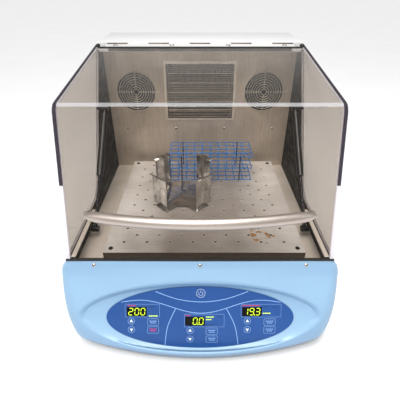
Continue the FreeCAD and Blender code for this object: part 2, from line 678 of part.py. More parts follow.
def make_fan_frames():
    """Square frames behind the wall, with struts that carry the motor hub."""
    pieces = []
    front = "(back_wall_y + sheet)"
    rear = f"({front} + frame_depth)"
    for side in ("-", ""):
        frame = new_body("fan_frame", node=False)
        prism(frame, "XZ_Plane", front, rear,
              box("-frame_half", "frame_half", "-frame_half", "frame_half"),
              ("0", "0", "frame_bore"))
        half = "fan_strut / 2"
        for shape in (box("-frame_bore - overrun", "frame_bore + overrun", f"-{half}", half),
                      box(f"-{half}", half, "-frame_bore - overrun", "frame_bore + overrun")):
            prism(frame, "XZ_Plane", f"{rear} - fan_strut_depth", rear, shape)
        prism(frame, "XZ_Plane", f"{rear} - fan_shaft_length", rear, ("0", "0", "motor_hub_radius"))
        hollow(frame, "XZ_Plane", f"{rear} - fan_shaft_length - overrun", f"{rear} + overrun",
               ("0", "0", "fan_shaft_radius + running_gap"))
        place(frame, f"{side}fan_x", "0", "fan_z")
        pieces.append(frame)
    group("fan_frames", pieces)


def make_impeller(label, x):
    impeller = new_body(label)
    hub_rear = "(back_wall_y + sheet + frame_depth - fan_shaft_length - gap * 2)"
    hub_front = f"({hub_rear} - impeller_depth)"
    prism(impeller, "XZ_Plane", hub_front, hub_rear, ("0", "0", "impeller_hub_radius"))
    hollow(impeller, "XZ_Plane", f"{hub_front} + hub_web", f"{hub_rear} + overrun",
           ("0", "0", "impeller_hub_radius - hub_web"))
    middle = f"({hub_front} + impeller_depth / 2)"
    half_chord, half_lean = "blade_chord / 2", "blade_lean / 2"
    sketches = []
    for reach, twist in (("impeller_hub_radius - hub_web / 2", "1"), ("blade_tip", "1.6")):
        section = new_sketch(impeller, "YZ_Plane", reach)
        draw(section, [(f"{middle} - {half_lean} / {twist}", f"-{half_chord}"),
                       (f"{middle} - {half_lean} / {twist} + blade_gauge", f"-{half_chord}"),
                       (f"{middle} + {half_lean} / {twist}", half_chord),
                       (f"{middle} + {half_lean} / {twist} - blade_gauge", half_chord)])
        sketches.append(section)
    blade = loft(impeller, "AdditiveLoft", sketches)
    repeat_round(impeller, blade, "Y_Axis", "blade_count")
    prism(impeller, "XZ_Plane", f"{hub_front} + hub_web / 2",
          f"{hub_rear} + fan_shaft_length - gap", ("0", "0", "fan_shaft_radius"))
    place(impeller, x, "0", "fan_z")


def make_heater():
    """Two finned rods behind the intake, on feet that stand on the wall's rear."""
    pieces = []
    middle_z = "(grille_low + grille_high) / 2"
    wall = "(back_wall_y + sheet)"
    for lift in ("- heater_pitch_z / 2", "+ heater_pitch_z / 2"):
        rod_z = f"({middle_z} {lift})"
        rod = primitive("Cylinder", "heater_rod", Radius="heater_tube",
                        Height="2 * heater_half_length")
        place(rod, "-heater_half_length", f"{wall} + heater_standoff", rod_z,
              Vector(0, 1, 0), "90")
        pieces.append(rod)
        pitch = "((2 * heater_half_length - 4 * heater_tube) / (heater_fins - 1))"
        for index in range(round(number("heater_fins"))):
            fin = primitive("Box", "heater_fin", Length="heater_fin_gauge",
                            Width="heater_fin_side", Height="heater_fin_side")
            place(fin, f"2 * heater_tube - heater_half_length + {index} * {pitch}",
                  f"{wall} + heater_standoff - heater_fin_side / 2",
                  f"{rod_z} - heater_fin_side / 2")
            pieces.append(fin)
    for side in ("-heater_half_length", "heater_half_length - heater_tube"):
        post = primitive("Box", "heater_post", Length="heater_tube",
                         Width="heater_standoff + heater_tube",
                         Height="grille_high - grille_low - grille_margin + 2 * heater_tube")
        place(post, side, wall, "grille_low + grille_margin / 2 - heater_tube")
        pieces.append(post)
    group("heater", pieces)


# Front bezel: a moulded shell with a wrap-round front and a dished recess

def bezel_section(body, level, name, inset="0"):
    """One level section: straight cheeks, round corners and a bowed front, all tangent."""
    tag = f"{name}_{'skin' if inset == '0' else 'core'}"
    half, corner = f"({name}_half - {inset})", f"({name}_corner - {inset})"
    rear = "cheek_rear_y" if inset == "0" else "cheek_rear_y + overrun"
    section = new_sketch(body, "XY_Plane", level)
    draw(section, [(half, rear), (f"-{half}", rear), (f"-{half}", f"{tag}_side"),
                   (f"-{tag}_turn_x", f"{tag}_turn_y", corner),
                   (f"{tag}_turn_x", f"{tag}_turn_y", f"{tag}_arc"),
                   (half, f"{tag}_side", corner)])
    return section


def dish_section(body, depth, half_width, half_height, rise="0"):
    """An ellipse square to the control panel's normal, at a height off its seat."""
    section = body.newObject("Sketcher::SketchObject", body.Label + "_dish")
    section.AttachmentSupport = (origin_feature(body, "XY_Plane"), "")
    section.MapMode = "FlatFace"
    section.AttachmentOffset = Placement(Vector(0, 0, 0), Rotation(AXIS_X, number("panel_swing")))
    section.setExpression("AttachmentOffset.Rotation.Angle", full("panel_swing"))
    section.setExpression("AttachmentOffset.Base.y",
                          full(f"panel_y - ({depth}) * cos(panel_tilt)"))
    section.setExpression("AttachmentOffset.Base.z",
                          full(f"panel_z + ({depth}) * sin(panel_tilt)"))
    ellipse(section, half_width, half_height, rise)
    return section


def dish_sections(body, growth):
    """The dish from its seat to its mouth, or the same grown by the wall behind it."""
    return [dish_section(body, f"-({growth})", f"panel_half_width + gap + {growth}",
                         f"panel_half_height + gap + {growth}"),
            dish_section(body, f"dish_flare - {growth}", f"dish_flare_half_width + {growth}",
                         f"dish_flare_half_height + {growth}"),
            dish_section(body, "dish_mouth", f"dish_mouth_half_width + {growth}",
                         f"dish_mouth_half_height + {growth}", "dish_mouth_rise")]


def make_front_bezel():
    skin = new_body("bezel_skin", node=False)
    loft(skin, "AdditiveLoft",
         [bezel_section(skin, "rim_z", "rim"), bezel_section(skin, "brow_z", "brow"),
          bezel_section(skin, "cheek_z", "cheek"), bezel_section(skin, "belly_z", "belly"),
          bezel_section(skin, "lip_z", "lip"), bezel_section(skin, "foot_height", "hem")])
    loft(skin, "SubtractiveLoft", dish_sections(skin, "0"))
    core = new_body("bezel_core", node=False)
    wall = "bezel_wall"
    loft(core, "AdditiveLoft",
         [bezel_section(core, "rim_z - bezel_wall", "rim", wall),
          bezel_section(core, "brow_z", "brow", wall),
          bezel_section(core, "cheek_z", "cheek", wall),
          bezel_section(core, "belly_z", "belly", wall),
          bezel_section(core, "lip_z", "lip", wall),
          bezel_section(core, "foot_height - overrun", "hem", wall)])
    loft(core, "SubtractiveLoft", dish_sections(core, wall))
    shell = doc.addObject("Part::Cut", "bezel_shell")
    shell.Base, shell.Tool = skin, core
    # The upper part stops at the cabinet's front edge, and only the cheeks run past it.
    trim = primitive("Box", "bezel_trim", Length="2 * cheek_half + 2 * overrun",
                     Width="cheek_rear_y - case_front_y + overrun",
                     Height="rim_z - cheek_top_z + overrun")
    place(trim, "-(cheek_half + overrun)", "case_front_y", "cheek_top_z")
    # The window behind the panel leaves a ledge that the panel's edge is bonded to.
    window = new_body("bezel_window", node=False)
    sketch = new_sketch(window, "XY_Plane", "-(bezel_wall + overrun)")
    ellipse(sketch, "panel_half_width - panel_ledge", "panel_half_height - panel_ledge")
    pad = add_feature(window, "Pad")
    pad.Profile = sketch
    pad.setExpression("Length", full("bezel_wall + 2 * overrun"))
    place(window, "0", "panel_y", "panel_z", AXIS_X, "panel_swing")
    tools = doc.addObject("Part::MultiFuse", "bezel_tools")
    tools.Shapes = [trim, window]
    bezel = doc.addObject("Part::Cut", "front_bezel")
    bezel.Label = "front_bezel"
    bezel.Base, bezel.Tool = shell, tools
    nodes.append(bezel)


# Control panel: keys, displays and board are laid out on the panel's own plane

def on_panel(body, x="0", v="0"):
    place(body, x, f"panel_y + ({v}) * sin(panel_tilt)", f"panel_z + ({v}) * cos(panel_tilt)",
          AXIS_X, "panel_swing")


ARROW, PAD = "arrow_key", "pad_key"
KEYS = {"key_power": ("power_key", "power_key_x", "power_key_v")}
for block, arrow_v, pad_v in (("left", "outer_arrow_v", "outer_pad_v"),
                              ("center", "center_arrow_v", "center_pad_v"),
                              ("right", "outer_arrow_v", "outer_pad_v")):
    KEYS[f"key_{block}_up"] = (ARROW, f"{block}_arrow_x", arrow_v)
    KEYS[f"key_{block}_down"] = (ARROW, f"{block}_arrow_x", f"({arrow_v} - arrow_pitch)")
    KEYS[f"key_{block}_upper"] = (PAD, f"{block}_pad_x", pad_v)
    KEYS[f"key_{block}_lower"] = (PAD, f"{block}_pad_x", f"({pad_v} - pad_pitch)")

DISPLAYS = {"left": ("left_display_x", "display_v"),
            "center": ("center_display_x", "center_display_v"),
            "right": ("right_display_x", "display_v")}


def key_shape(kind, x, v, growth="0"):
    """The outline of a key, or of the hole that it moves in."""
    if kind != PAD:
        return (x, v, f"{kind}_radius + {growth}")
    half_width = f"(pad_key_width / 2 + {growth})"
    half_height = f"(pad_key_height / 2 + {growth})"
    corner = f"(pad_key_corner + {growth})"
    return [(f"{x} + {half_width} - {corner}", f"{v} - {half_height}"),
            (f"{x} + {half_width}", f"{v} - {half_height} + {corner}", corner),
            (f"{x} + {half_width}", f"{v} + {half_height} - {corner}"),
            (f"{x} + {half_width} - {corner}", f"{v} + {half_height}", corner),
            (f"{x} - {half_width} + {corner}", f"{v} + {half_height}"),
            (f"{x} - {half_width}", f"{v} + {half_height} - {corner}", corner),
            (f"{x} - {half_width}", f"{v} - {half_height} + {corner}"),
            (f"{x} - {half_width} + {corner}", f"{v} - {half_height}", corner)]


def display_box(x, v, growth="0"):
    half_width, half_height = f"(display_width / 2 + {growth})", f"(display_height / 2 + {growth})"
    return box(f"{x} - {half_width}", f"{x} + {half_width}",
               f"{v} - {half_height}", f"{v} + {half_height}")


def make_control_panel():
    panel = new_body("control_panel")
    sketch = new_sketch(panel, "XY_Plane")
    ellipse(sketch, "panel_half_width", "panel_half_height")
    plate = add_feature(panel, "Pad")
    plate.Profile = sketch
    plate.setExpression("Length", full("panel_gauge"))
    holes = [key_shape(kind, x, v, "gap") for kind, x, v in KEYS.values()]
    holes += [display_box(x, v, "gap") for x, v in DISPLAYS.values()]
    hollow(panel, "XY_Plane", "-overrun", "panel_gauge + overrun", *holes)
    on_panel(panel)


def make_keys():
    for label, (kind, x, v) in KEYS.items():
        key = new_body(label)
        prism(key, "XY_Plane", "-key_root", "panel_gauge + key_proud", key_shape(kind, "0", "0"))
        on_panel(key, x, v)


def make_displays():
    pieces = []
    for x, v in DISPLAYS.values():
        block = new_body("display_block", node=False)
        prism(block, "XY_Plane", "-(board_depth - board_gauge)", "panel_gauge - gap",
              display_box("0", "0"))
        on_panel(block, x, v)
        pieces.append(block)
    group("displays", pieces)


def make_control_board():
    """The board hangs on posts from the bezel and carries a dome under each key."""
    board = new_body("control_board")
    middle = "-board_drop"
    prism(board, "XY_Plane", "-board_depth", "-(board_depth - board_gauge)",
          box("-board_half_width", "board_half_width",
              f"{middle} - board_half_height", f"{middle} + board_half_height"))
    front = "-(board_depth - board_gauge)"
    domes = [(x, v, "dome_radius") for label, (kind, x, v) in KEYS.items()
             if label != "key_power"]
    prism(board, "XY_Plane", f"{front} - board_gauge / 2", "-(key_root + key_travel + gap)", *domes)
    posts = [(x, "0", "board_post_radius")
             for x in ("panel_half_width - board_post_inset", "-(panel_half_width - board_post_inset)")]
    arm = box("-panel_half_width", "panel_half_width", "-board_post_radius * 2",
              "board_post_radius * 2")
    prism(board, "XY_Plane", "-board_depth", f"{front}", arm)
    prism(board, "XY_Plane", f"{front} - board_gauge / 2", "-bezel_wall", *posts)
    on_panel(board)


# Lid, hinge, handle and struts

def top_height(y):
    return f"(bend_z + ({y} - bend_y) * tan(lid_top_angle))"


def lid_bend(y, z, radius):
    """The bend between the top and the front, turned about a point that its two walls share."""
    cut = f"({radius}) * tan((lid_front_angle - lid_top_angle) / 2)"
    return [(f"{y} + {cut} * cos(lid_top_angle)", f"{z} + {cut} * sin(lid_top_angle)"),
            (f"{y} - {cut} * cos(lid_front_angle)", f"{z} - {cut} * sin(lid_front_angle)", radius)]


def make_lid_shell():
    lid = new_body("lid_shell")
    prism(lid, "YZ_Plane", "-lid_half_width", "lid_half_width",
          [("lid_rear_y", "lid_rear_z")] + lid_bend("bend_y", "bend_z", "bend_radius")
          + [("lid_front_y", "lid_foot_z")] + wall_edge("lid_offset", "lid_rear_y"))
    inner = "(lid_half_width - lid_sheet)"
    low = "(lid_foot_z - overrun)"
    rear = "(lid_rear_y + overrun)"
    hollow(lid, "YZ_Plane", f"-{inner}", inner,
           [(rear, f"inner_bend_z + ({rear} - inner_bend_y) * tan(lid_top_angle)")]
           + lid_bend("inner_bend_y", "inner_bend_z", "bend_radius - lid_sheet")
           + [(f"inner_bend_y + ({low} - inner_bend_z) / tan(lid_front_angle)", low),
              (rear, low)])


def knuckle_span(index):
    low = f"({index} * knuckle_pitch - hinge_half_length + gap / 2)"
    return low, f"({low} + knuckle_pitch - gap)"


def make_hinge_lid_leaf():
    """A strip clamped on the lid's rear edge, rolled into every second knuckle."""
    leaf = new_body("hinge_lid_leaf")
    front, rear = "(lid_rear_y - strip_width)", "lid_rear_y"
    prism(leaf, "YZ_Plane", "-hinge_half_length", "hinge_half_length",
          [(front, top_height(front)), (rear, top_height(rear)),
           (rear, f"{top_height(rear)} + strip_gauge"), (front, f"{top_height(front)} + strip_gauge")])
    for index in range(1, round(number("knuckle_count")), 2):
        low, high = knuckle_span(index)
        prism(leaf, "YZ_Plane", low, high,
              box("lid_rear_y - overrun", "hinge_y - pin_radius", "lid_rear_z + leaf_gauge / 2",
                  "lid_rear_z + strip_gauge"))
        prism(leaf, "YZ_Plane", low, high, ("hinge_y", "hinge_z", "knuckle_radius"))
    hollow(leaf, "YZ_Plane", "-hinge_half_length - overrun", "hinge_half_length + overrun",
           ("hinge_y", "hinge_z", "pin_radius + running_gap"))


def make_hinge_cabinet_leaf():
    """A leaf screwed to the cabinet's front edge, with its knuckles and the hinge pin."""
    leaf = new_body("hinge_cabinet_leaf")
    top = "(hinge_z - knuckle_radius - gap)"
    prism(leaf, "YZ_Plane", "-hinge_half_length", "hinge_half_length",
          box("hood_face_y - leaf_gauge", "hood_face_y", f"{top} - leaf_height", top))
    for index in range(0, round(number("knuckle_count")), 2):
        low, high = knuckle_span(index)
        prism(leaf, "YZ_Plane", low, high,
              box("hinge_y + pin_radius", "hood_face_y", f"{top} - overrun", "hinge_z"))
        prism(leaf, "YZ_Plane", low, high, ("hinge_y", "hinge_z", "knuckle_radius"))
    prism(leaf, "YZ_Plane", "-hinge_half_length", "hinge_half_length",
          ("hinge_y", "hinge_z", "pin_radius"))


def make_lid_screws():
    pieces = []
    seat_y = "(lid_rear_y - strip_width / 2)"
    for share in ("-1.5", "-0.5", "0.5", "1.5"):
        pieces += screw("strip_screw", f"{share} * strip_screw_pitch", seat_y,
                        f"{top_height(seat_y)} + strip_gauge", AXIS_X, "lid_top_angle")
    inside_y = "(handle_face_y + lid_sheet * sin(lid_front_angle))"
    inside_z = "(handle_z - lid_sheet * cos(lid_front_angle))"
    for x in ("handle_half_span", "-handle_half_span"):
        pieces += screw("handle_screw", x, inside_y, inside_z, AXIS_X, "lid_front_angle - 180")
    group("lid_screws", pieces)


def make_handle():
    """A bar turned about the centre of its bow, with a foot at each end."""
    handle = new_body("handle")
    sketch = new_sketch(handle, "YZ_Plane")
    draw(sketch, ("-handle_arc", "0", "handle_radius"))
    bar = add_feature(handle, "Revolution")
    bar.Profile = sketch
    bar.ReferenceAxis = (sketch, ["V_Axis"])
    bar.setExpression("Angle", full("2 * asin(handle_half_span / handle_arc)"))
    bar.Midplane = True
    for x in ("handle_half_span - handle_post_radius", "-(handle_half_span - handle_post_radius)"):
        prism(handle, "XZ_Plane", "-(handle_arc - handle_bow)", "-handle_sink",
              (x, "0", "handle_post_radius"))
    place(handle, "0", "handle_face_y + handle_sink * sin(lid_front_angle)",
          "handle_z - handle_sink * cos(lid_front_angle)", AXIS_X, "lid_front_angle - 90")


def make_strut(side, x):
    """Drawn upright from the lower ball, then leaned back to the upper one."""
    lean = "strut_angle - 90"
    base = "(strut_length - strut_neck - cylinder_length)"
    rod = new_body(f"strut_rod_{side}")
    piston_top = "(strut_length - strut_neck - piston_setback)"
    turned(rod, "XZ_Plane",
           [("0", "0"), ("rod_radius", "0"), ("rod_radius", f"{piston_top} - piston_length"),
            ("cylinder_bore - piston_clearance", f"{piston_top} - piston_length"),
            ("cylinder_bore - piston_clearance", piston_top), ("0", piston_top)])
    prism(rod, "YZ_Plane", "-strut_eye_half", "strut_eye_half", ("0", "0", "strut_eye_radius"))
    hollow(rod, "YZ_Plane", "-strut_eye_half - overrun", "strut_eye_half + overrun",
           ("0", "0", "rod_radius + running_gap"))
    place(rod, x, "strut_low_y", "strut_low_z", AXIS_X, lean)
    cylinder = new_body(f"strut_cylinder_{side}")
    top = "(strut_length - strut_neck)"
    bore = "rod_radius + running_gap"
    turned(cylinder, "XZ_Plane",
           [(bore, base), ("cylinder_radius", base), ("cylinder_radius", top),
            ("rod_radius", top), ("rod_radius", "strut_length"), ("0", "strut_length"),
            ("0", f"{top} - cylinder_wall_end"), ("cylinder_bore", f"{top} - cylinder_wall_end"),
            ("cylinder_bore", f"{base} + cylinder_wall_end"),
            (bore, f"{base} + cylinder_wall_end")])
    prism(cylinder, "YZ_Plane", "-strut_eye_half", "strut_eye_half",
          ("0", "strut_length", "strut_eye_radius"))
    place(cylinder, x, "strut_low_y", "strut_low_z", AXIS_X, lean)


def make_strut_studs():
    """The lower studs run through the rods' eyes. The upper ones stop short of theirs."""
    lower, upper = [], []
    low_end, high_end = "(strut_x - strut_eye_half)", "(strut_x + strut_eye_half + gap)"
    for side in ("", "-"):
        length = f"chamber_half - {low_end}"
        stud = primitive("Cylinder", "lower_stud", Radius="rod_radius", Height=length)
        start = low_end if side == "" else "-chamber_half"
        lower.append(place(stud, start, "strut_low_y", "strut_low_z", Vector(0, 1, 0), "90"))
        inner = "(lid_half_width - lid_sheet)"
        stud = primitive("Cylinder", "upper_stud", Radius="rod_radius",
                         Height=f"{inner} - {high_end}")
        start = high_end if side == "" else f"-{inner}"
        upper.append(place(stud, start, "strut_high_y", "strut_high_z", Vector(0, 1, 0), "90"))
    group("strut_lower_studs", lower)
    group("strut_upper_studs", upper)


# Orbital drive: one driven crank and two idlers with the same throw carry the platform

def make_drive_plate():
    plate = new_body("drive_plate")
    half = "plate_half_width"
    prism(plate, "XY_Plane", "plate_top - plate_gauge", "plate_top",
          box(f"-{half}", half, "plate_front_y", "plate_rear_y"))
    hollow(plate, "XY_Plane", "plate_top - plate_gauge - overrun", "plate_top + overrun",
           ("0", "main_shaft_y", "housing_radius"), ("idler_x", "idler_y", "housing_radius"),
           ("-idler_x", "idler_y", "housing_radius"),
           ("0", "motor_y", "motor_pulley_radius + pulley_rim + gap"))
    legs = [(x, y, "leg_radius") for x in (f"{half} - leg_inset", f"-({half} - leg_inset)")
            for y in ("plate_front_y + leg_inset", "plate_rear_y - leg_inset")]
    prism(plate, "XY_Plane", "foot_height + pan_gauge", "plate_top - plate_gauge", *legs)


SHAFTS = {"main": ("0", "main_shaft_y"), "left": ("-idler_x", "idler_y"),
          "right": ("idler_x", "idler_y")}


def make_bearing_housings():
    housings, bearings = [], []
    for x, y in SHAFTS.values():
        housing = new_body("housing", node=False)
        turned(housing, "XZ_Plane",
               [("bearing_radius", "plate_top"), ("housing_flange_radius", "plate_top"),
                ("housing_flange_radius", "plate_top + housing_flange"),
                ("housing_radius", "plate_top + 2 * housing_flange"),
                ("housing_radius", "housing_top"),
                ("bearing_radius - housing_lip", "housing_top"),
                ("bearing_radius - housing_lip", "housing_top - housing_lip"),
                ("bearing_radius", "housing_top - housing_lip")])
        housings.append(place(housing, x, y, "0"))
        for low in ("plate_top", "housing_top - housing_lip - bearing_width"):
            bearing = new_body("bearing", node=False)
            inner = "shaft_radius + running_gap"
            turned(bearing, "XZ_Plane",
                   [(inner, low), ("bearing_radius", low), ("bearing_radius", f"{low} + bearing_width"),
                    (inner, f"{low} + bearing_width")])
            bearings.append(place(bearing, x, y, "0"))
    group("bearing_housings", housings)
    group("shaft_bearings", bearings)


def make_crank(label, where, low):
    """A shaft with a head above the chamber floor and a pin set off by the orbit's radius."""
    crank = new_body(label)
    turned(crank, "XZ_Plane",
           [("0", low), ("shaft_radius", low), ("shaft_radius", "head_low"),
            ("shaft_head_radius", "head_low"), ("shaft_head_radius", "head_top"),
            ("0", "head_top")])
    prism(crank, "XY_Plane", "head_top", "pin_top", ("orbit_radius", "0", "crank_pin_radius"))
    place(crank, *SHAFTS[where], "0")


def grooved_wheel(body, radius, shaft):
    """A pulley with a rim above and below the belt's track."""
    low, high = "(belt_z - pulley_rim - gap)", "(belt_z + belt_width + gap + pulley_rim)"
    rim = f"({radius} + pulley_flange)"
    turned(body, "XZ_Plane",
           [(shaft, low), (rim, low), (rim, "belt_z - gap"), (radius, "belt_z - gap"),
            (radius, "belt_z + belt_width + gap"), (rim, "belt_z + belt_width + gap"),
            (rim, high), (shaft, high)])
    return high


def make_drive_pulley():
    """The large pulley and, opposite the crank pin, the counterweight on top of it."""
    pulley = new_body("drive_pulley")
    high = grooved_wheel(pulley, "main_pulley_radius", "shaft_radius")
    radius, top = "weight_radius", "(plate_top - plate_gauge - weight_gap)"
    prism(pulley, "XY_Plane", high, top,
          [("0", radius), (f"-{radius}", "0", radius), ("0", f"-{radius}", radius)])
    hollow(pulley, "XY_Plane", high, f"{top} + overrun", ("0", "0", "shaft_radius"))
    place(pulley, *SHAFTS["main"], "0")


def make_motor():
    motor = new_body("drive_motor")
    prism(motor, "XY_Plane", "plate_top", "plate_top + motor_height", ("0", "0", "motor_radius"))
    hollow(motor, "XY_Plane", "plate_top - overrun", "plate_top + motor_shaft_depth",
           ("0", "0", "motor_shaft_radius + running_gap"))
    place(motor, "0", "motor_y", "0")
    pulley = new_body("motor_pulley")
    high = grooved_wheel(pulley, "motor_pulley_radius", "motor_shaft_radius / 2")
    prism(pulley, "XY_Plane", "belt_z - pulley_rim - gap", "plate_top + motor_shaft_depth - gap",
          ("0", "0", "motor_shaft_radius"))
    place(pulley, "0", "motor_y", "0")


def belt_loop(growth):
    """Round both pulleys, with straight runs that touch each at its tangent point."""
    big, small = f"(main_pulley_radius + {growth})", f"(motor_pulley_radius + {growth})"
    big_x, big_y = f"{big} * belt_side", f"main_shaft_y + {big} * belt_drop"
    small_x, small_y = f"{small} * belt_side", f"motor_y + {small} * belt_drop"
    return [(small_x, small_y), (f"-{small_x}", small_y, small), (f"-{big_x}", big_y),
            ("0", f"main_shaft_y - {big}", big), (big_x, big_y, big)]


def make_belt():
    belt = new_body("drive_belt")
    prism(belt, "XY_Plane", "belt_z", "belt_z + belt_width", belt_loop("(gap + belt_gauge)"))
    hollow(belt, "XY_Plane", "belt_z - overrun", "belt_z + belt_width + overrun",
           belt_loop("gap"))


# Carrier, platform and what stands on it, drawn round the platform's middle

def on_platform(body, z="0"):
    place(body, "orbit_radius", "platform_y", z)


def make_carrier_frame():
    """A cast square frame with bars through the three bosses that the pins turn in."""
    frame = new_body("carrier_frame")
    half, bar = "carrier_half", "carrier_bar"
    low = "(platform_under - carrier_gauge)"
    prism(frame, "XY_Plane", low, "platform_under", box(f"-{half}", half, f"-{half}", half))
    rows = ("idler_y - platform_y", "main_shaft_y - platform_y")
    column_edges = [(f"{bar} - {half}", f"-idler_x - {bar} / 2"),
                    (f"{bar} / 2 - idler_x", f"idler_x - {bar} / 2"),
                    (f"idler_x + {bar} / 2", f"{half} - {bar}")]
    row_edges = [(f"{bar} - {half}", f"{rows[0]} - {bar} / 2"),
                 (f"{rows[0]} + {bar} / 2", f"{rows[1]} - {bar} / 2"),
                 (f"{rows[1]} + {bar} / 2", f"{half} - {bar}")]
    windows = [box(*column, *row) for column in column_edges for row in row_edges]
    hollow(frame, "XY_Plane", f"{low} - overrun", "platform_under + overrun", *windows)
    bosses = [(x, f"{y} - platform_y", "boss_radius") for x, y in SHAFTS.values()]
    prism(frame, "XY_Plane", "head_top + gap", low, *bosses)
    bores = [(x, y, "crank_pin_radius + running_gap") for x, y, _ in bosses]
    hollow(frame, "XY_Plane", "head_top", "pin_top + gap", *bores)
    on_platform(frame)


def make_platform():
    """A folded tray, face up, with rows of holes that are staggered by half a pitch."""
    platform = new_body("platform")
    half = "(platform_side / 2)"
    prism(platform, "XY_Plane", "platform_top - platform_skirt", "platform_top",
          box(f"-{half}", half, f"-{half}", half))
    inner = f"({half} - platform_sheet)"
    hollow(platform, "XY_Plane", "platform_top - platform_skirt - overrun", "platform_under",
           box(f"-{inner}", inner, f"-{inner}", inner))
    first = f"(hole_first_row - {half})"
    for columns, row in (("hole_columns", first),
                         ("(hole_columns - 1)", f"({first} + hole_row_pitch)")):
        hole = hollow(platform, "XY_Plane", "platform_under - overrun", "platform_top + overrun",
                      (f"({columns} - 1) * hole_pitch / -2", row, "hole_radius"))
        repeat(platform, hole, ("X_Axis", "hole_pitch", columns),
               ("Y_Axis", "2 * hole_row_pitch", "hole_row_pairs"))
    on_platform(platform)


def make_platform_screws():
    pieces = []
    reach = "(platform_side / 2 - corner_screw_inset)"
    for x in (reach, f"-{reach}"):
        for y in (reach, f"-{reach}"):
            pieces += screw("corner_screw", f"orbit_radius + {x}", f"platform_y + {y}",
                            "platform_top", AXIS_X, "0", "corner_head_radius", "corner_head")
    group("platform_screws", pieces)


def make_flask_clamp():
    """A cut plate with four folded arms whose tips are turned out, and two ears in front."""
    clamp = new_body("flask_clamp")
    reach, half = "clamp_reach", "clamp_arm_half"
    ear = "(clamp_reach + clamp_ear)"
    before, after = ("clamp_notch", "-clamp_notch_half"), ("clamp_notch", "clamp_notch_half")
    plain = [before, (reach, f"-{half}"), (reach, half), after]
    left = [before, (reach, f"-{half}"), (reach, "-clamp_ear_near"), (ear, "-clamp_ear_near"),
            (ear, "clamp_ear_far"), after]
    right = [before, (ear, "-clamp_ear_far"), (ear, "clamp_ear_near"),
             (reach, "clamp_ear_near"), (reach, half), after]
    corners = []
    for turn, points in enumerate((plain, plain, left, right)):
        for x, y in points:
            for _ in range(turn):
                x, y = f"-({y})", x
            corners.append((x, y))
    prism(clamp, "XY_Plane", "0", "clamp_sheet", corners)
    inside = f"{reach} - clamp_sheet"
    tip = f"{reach} + clamp_lip"
    arm = prism(clamp, "XZ_Plane", f"-{half}", half,
                [(inside, "0"), (reach, "0"), (reach, "clamp_height"),
                 (tip, "clamp_height + clamp_lip_rise"),
                 (f"{tip} - clamp_sheet", "clamp_height + clamp_lip_rise + clamp_sheet / 2"),
                 (inside, "clamp_height + clamp_sheet / 2")])
    repeat_round(clamp, arm, "Z_Axis", "4")
    place(clamp, "clamp_x", "clamp_y", "platform_top", Vector(0, 0, 1), "45")


def make_tube_rack():
    """Three wire grids between upright rods."""
    rack = new_body("tube_rack")
    wide, deep, wire = "rack_half_width", "rack_half_depth", "rack_wire"
    step = "((rack_height - rack_wire) / (rack_tiers - 1))"
    for tier in range(round(number("rack_tiers"))):
        low = f"({tier} * {step})"
        prism(rack, "XY_Plane", low, f"{low} + {wire}", box(f"-{wide}", wide, f"-{deep}", deep))
    corner_x, corner_y = f"({wire} - {wide})", f"({wire} - {deep})"
    cell = hollow(rack, "XY_Plane", "-overrun", f"{wire} + overrun",
                  box(corner_x, f"{corner_x} + rack_pitch_x - {wire}",
                      corner_y, f"{corner_y} + rack_pitch_y - {wire}"))
    repeat(rack, cell, ("X_Axis", "rack_pitch_x", "rack_columns"),
           ("Y_Axis", "rack_pitch_y", "rack_rows"), ("Z_Axis", step, "rack_tiers"))
    rods = [box(x, f"{x} + {wire}", y, f"{y} + {wire}")
            for x in (f"rack_rod_inset - {wide}", f"{wide} - rack_rod_inset - {wire}")
            for y in (f"-{deep}", f"{deep} - {wire}")]
    prism(rack, "XY_Plane", "0", "rack_height", *rods)
    place(rack, "rack_x", "rack_y", "platform_top")


def make_case_screws():
    """Three screws hold the bezel's brow, and four hold the chamber's back wall."""
    pieces = []
    band = "(atan((rim_z - brow_z) / (rim_front - brow_front)) / 1 deg)"
    face_y = "(rim_front - (rim_z - bezel_screw_z) * (rim_front - brow_front) / (rim_z - brow_z))"
    for x in ("-bezel_screw_x", "0", "bezel_screw_x"):
        sag = "(rim_bulge * (bezel_screw_x / rim_half)^2)" if x != "0" else "0"
        pieces += screw("bezel_screw", x, f"{face_y} + {sag}", "bezel_screw_z", AXIS_X, band)
    for x in ("-outer_screw_x", "-inner_screw_x", "inner_screw_x", "outer_screw_x"):
        pieces += screw("wall_screw", x, "back_wall_y", "wall_screw_z", AXIS_X, "90")
    group("case_screws", pieces)


make_base_pan()
make_feet()
make_cabinet_shell()
make_rear_panel()
make_power_inlet()
make_power_rocker()
make_chamber_floor()
make_back_wall()
make_side_liners()
make_lid_seal()
make_intake_grille()
make_fan_guards()
make_fan_frames()
make_impeller("fan_impeller_left", "-fan_x")
make_impeller("fan_impeller_right", "fan_x")
make_heater()
make_front_bezel()
make_case_screws()
make_control_panel()
make_keys()
make_displays()
make_control_board()
make_lid_shell()
make_hinge_lid_leaf()
make_hinge_cabinet_leaf()
make_lid_screws()
make_handle()
make_strut("left", "-strut_x")
make_strut("right", "strut_x")
make_strut_studs()
make_drive_plate()
make_bearing_housings()
make_crank("main_crank", "main", "belt_z - pulley_rim - gap")
make_crank("idler_crank_left", "left", "plate_top - gap")
make_crank("idler_crank_right", "right", "plate_top - gap")
make_drive_pulley()
make_motor()
make_belt()
make_carrier_frame()
make_platform()
make_platform_screws()
make_flask_clamp()
make_tube_rack()
doc.recompute()

# Nothing is written unless every object worked out and every cut took something away.

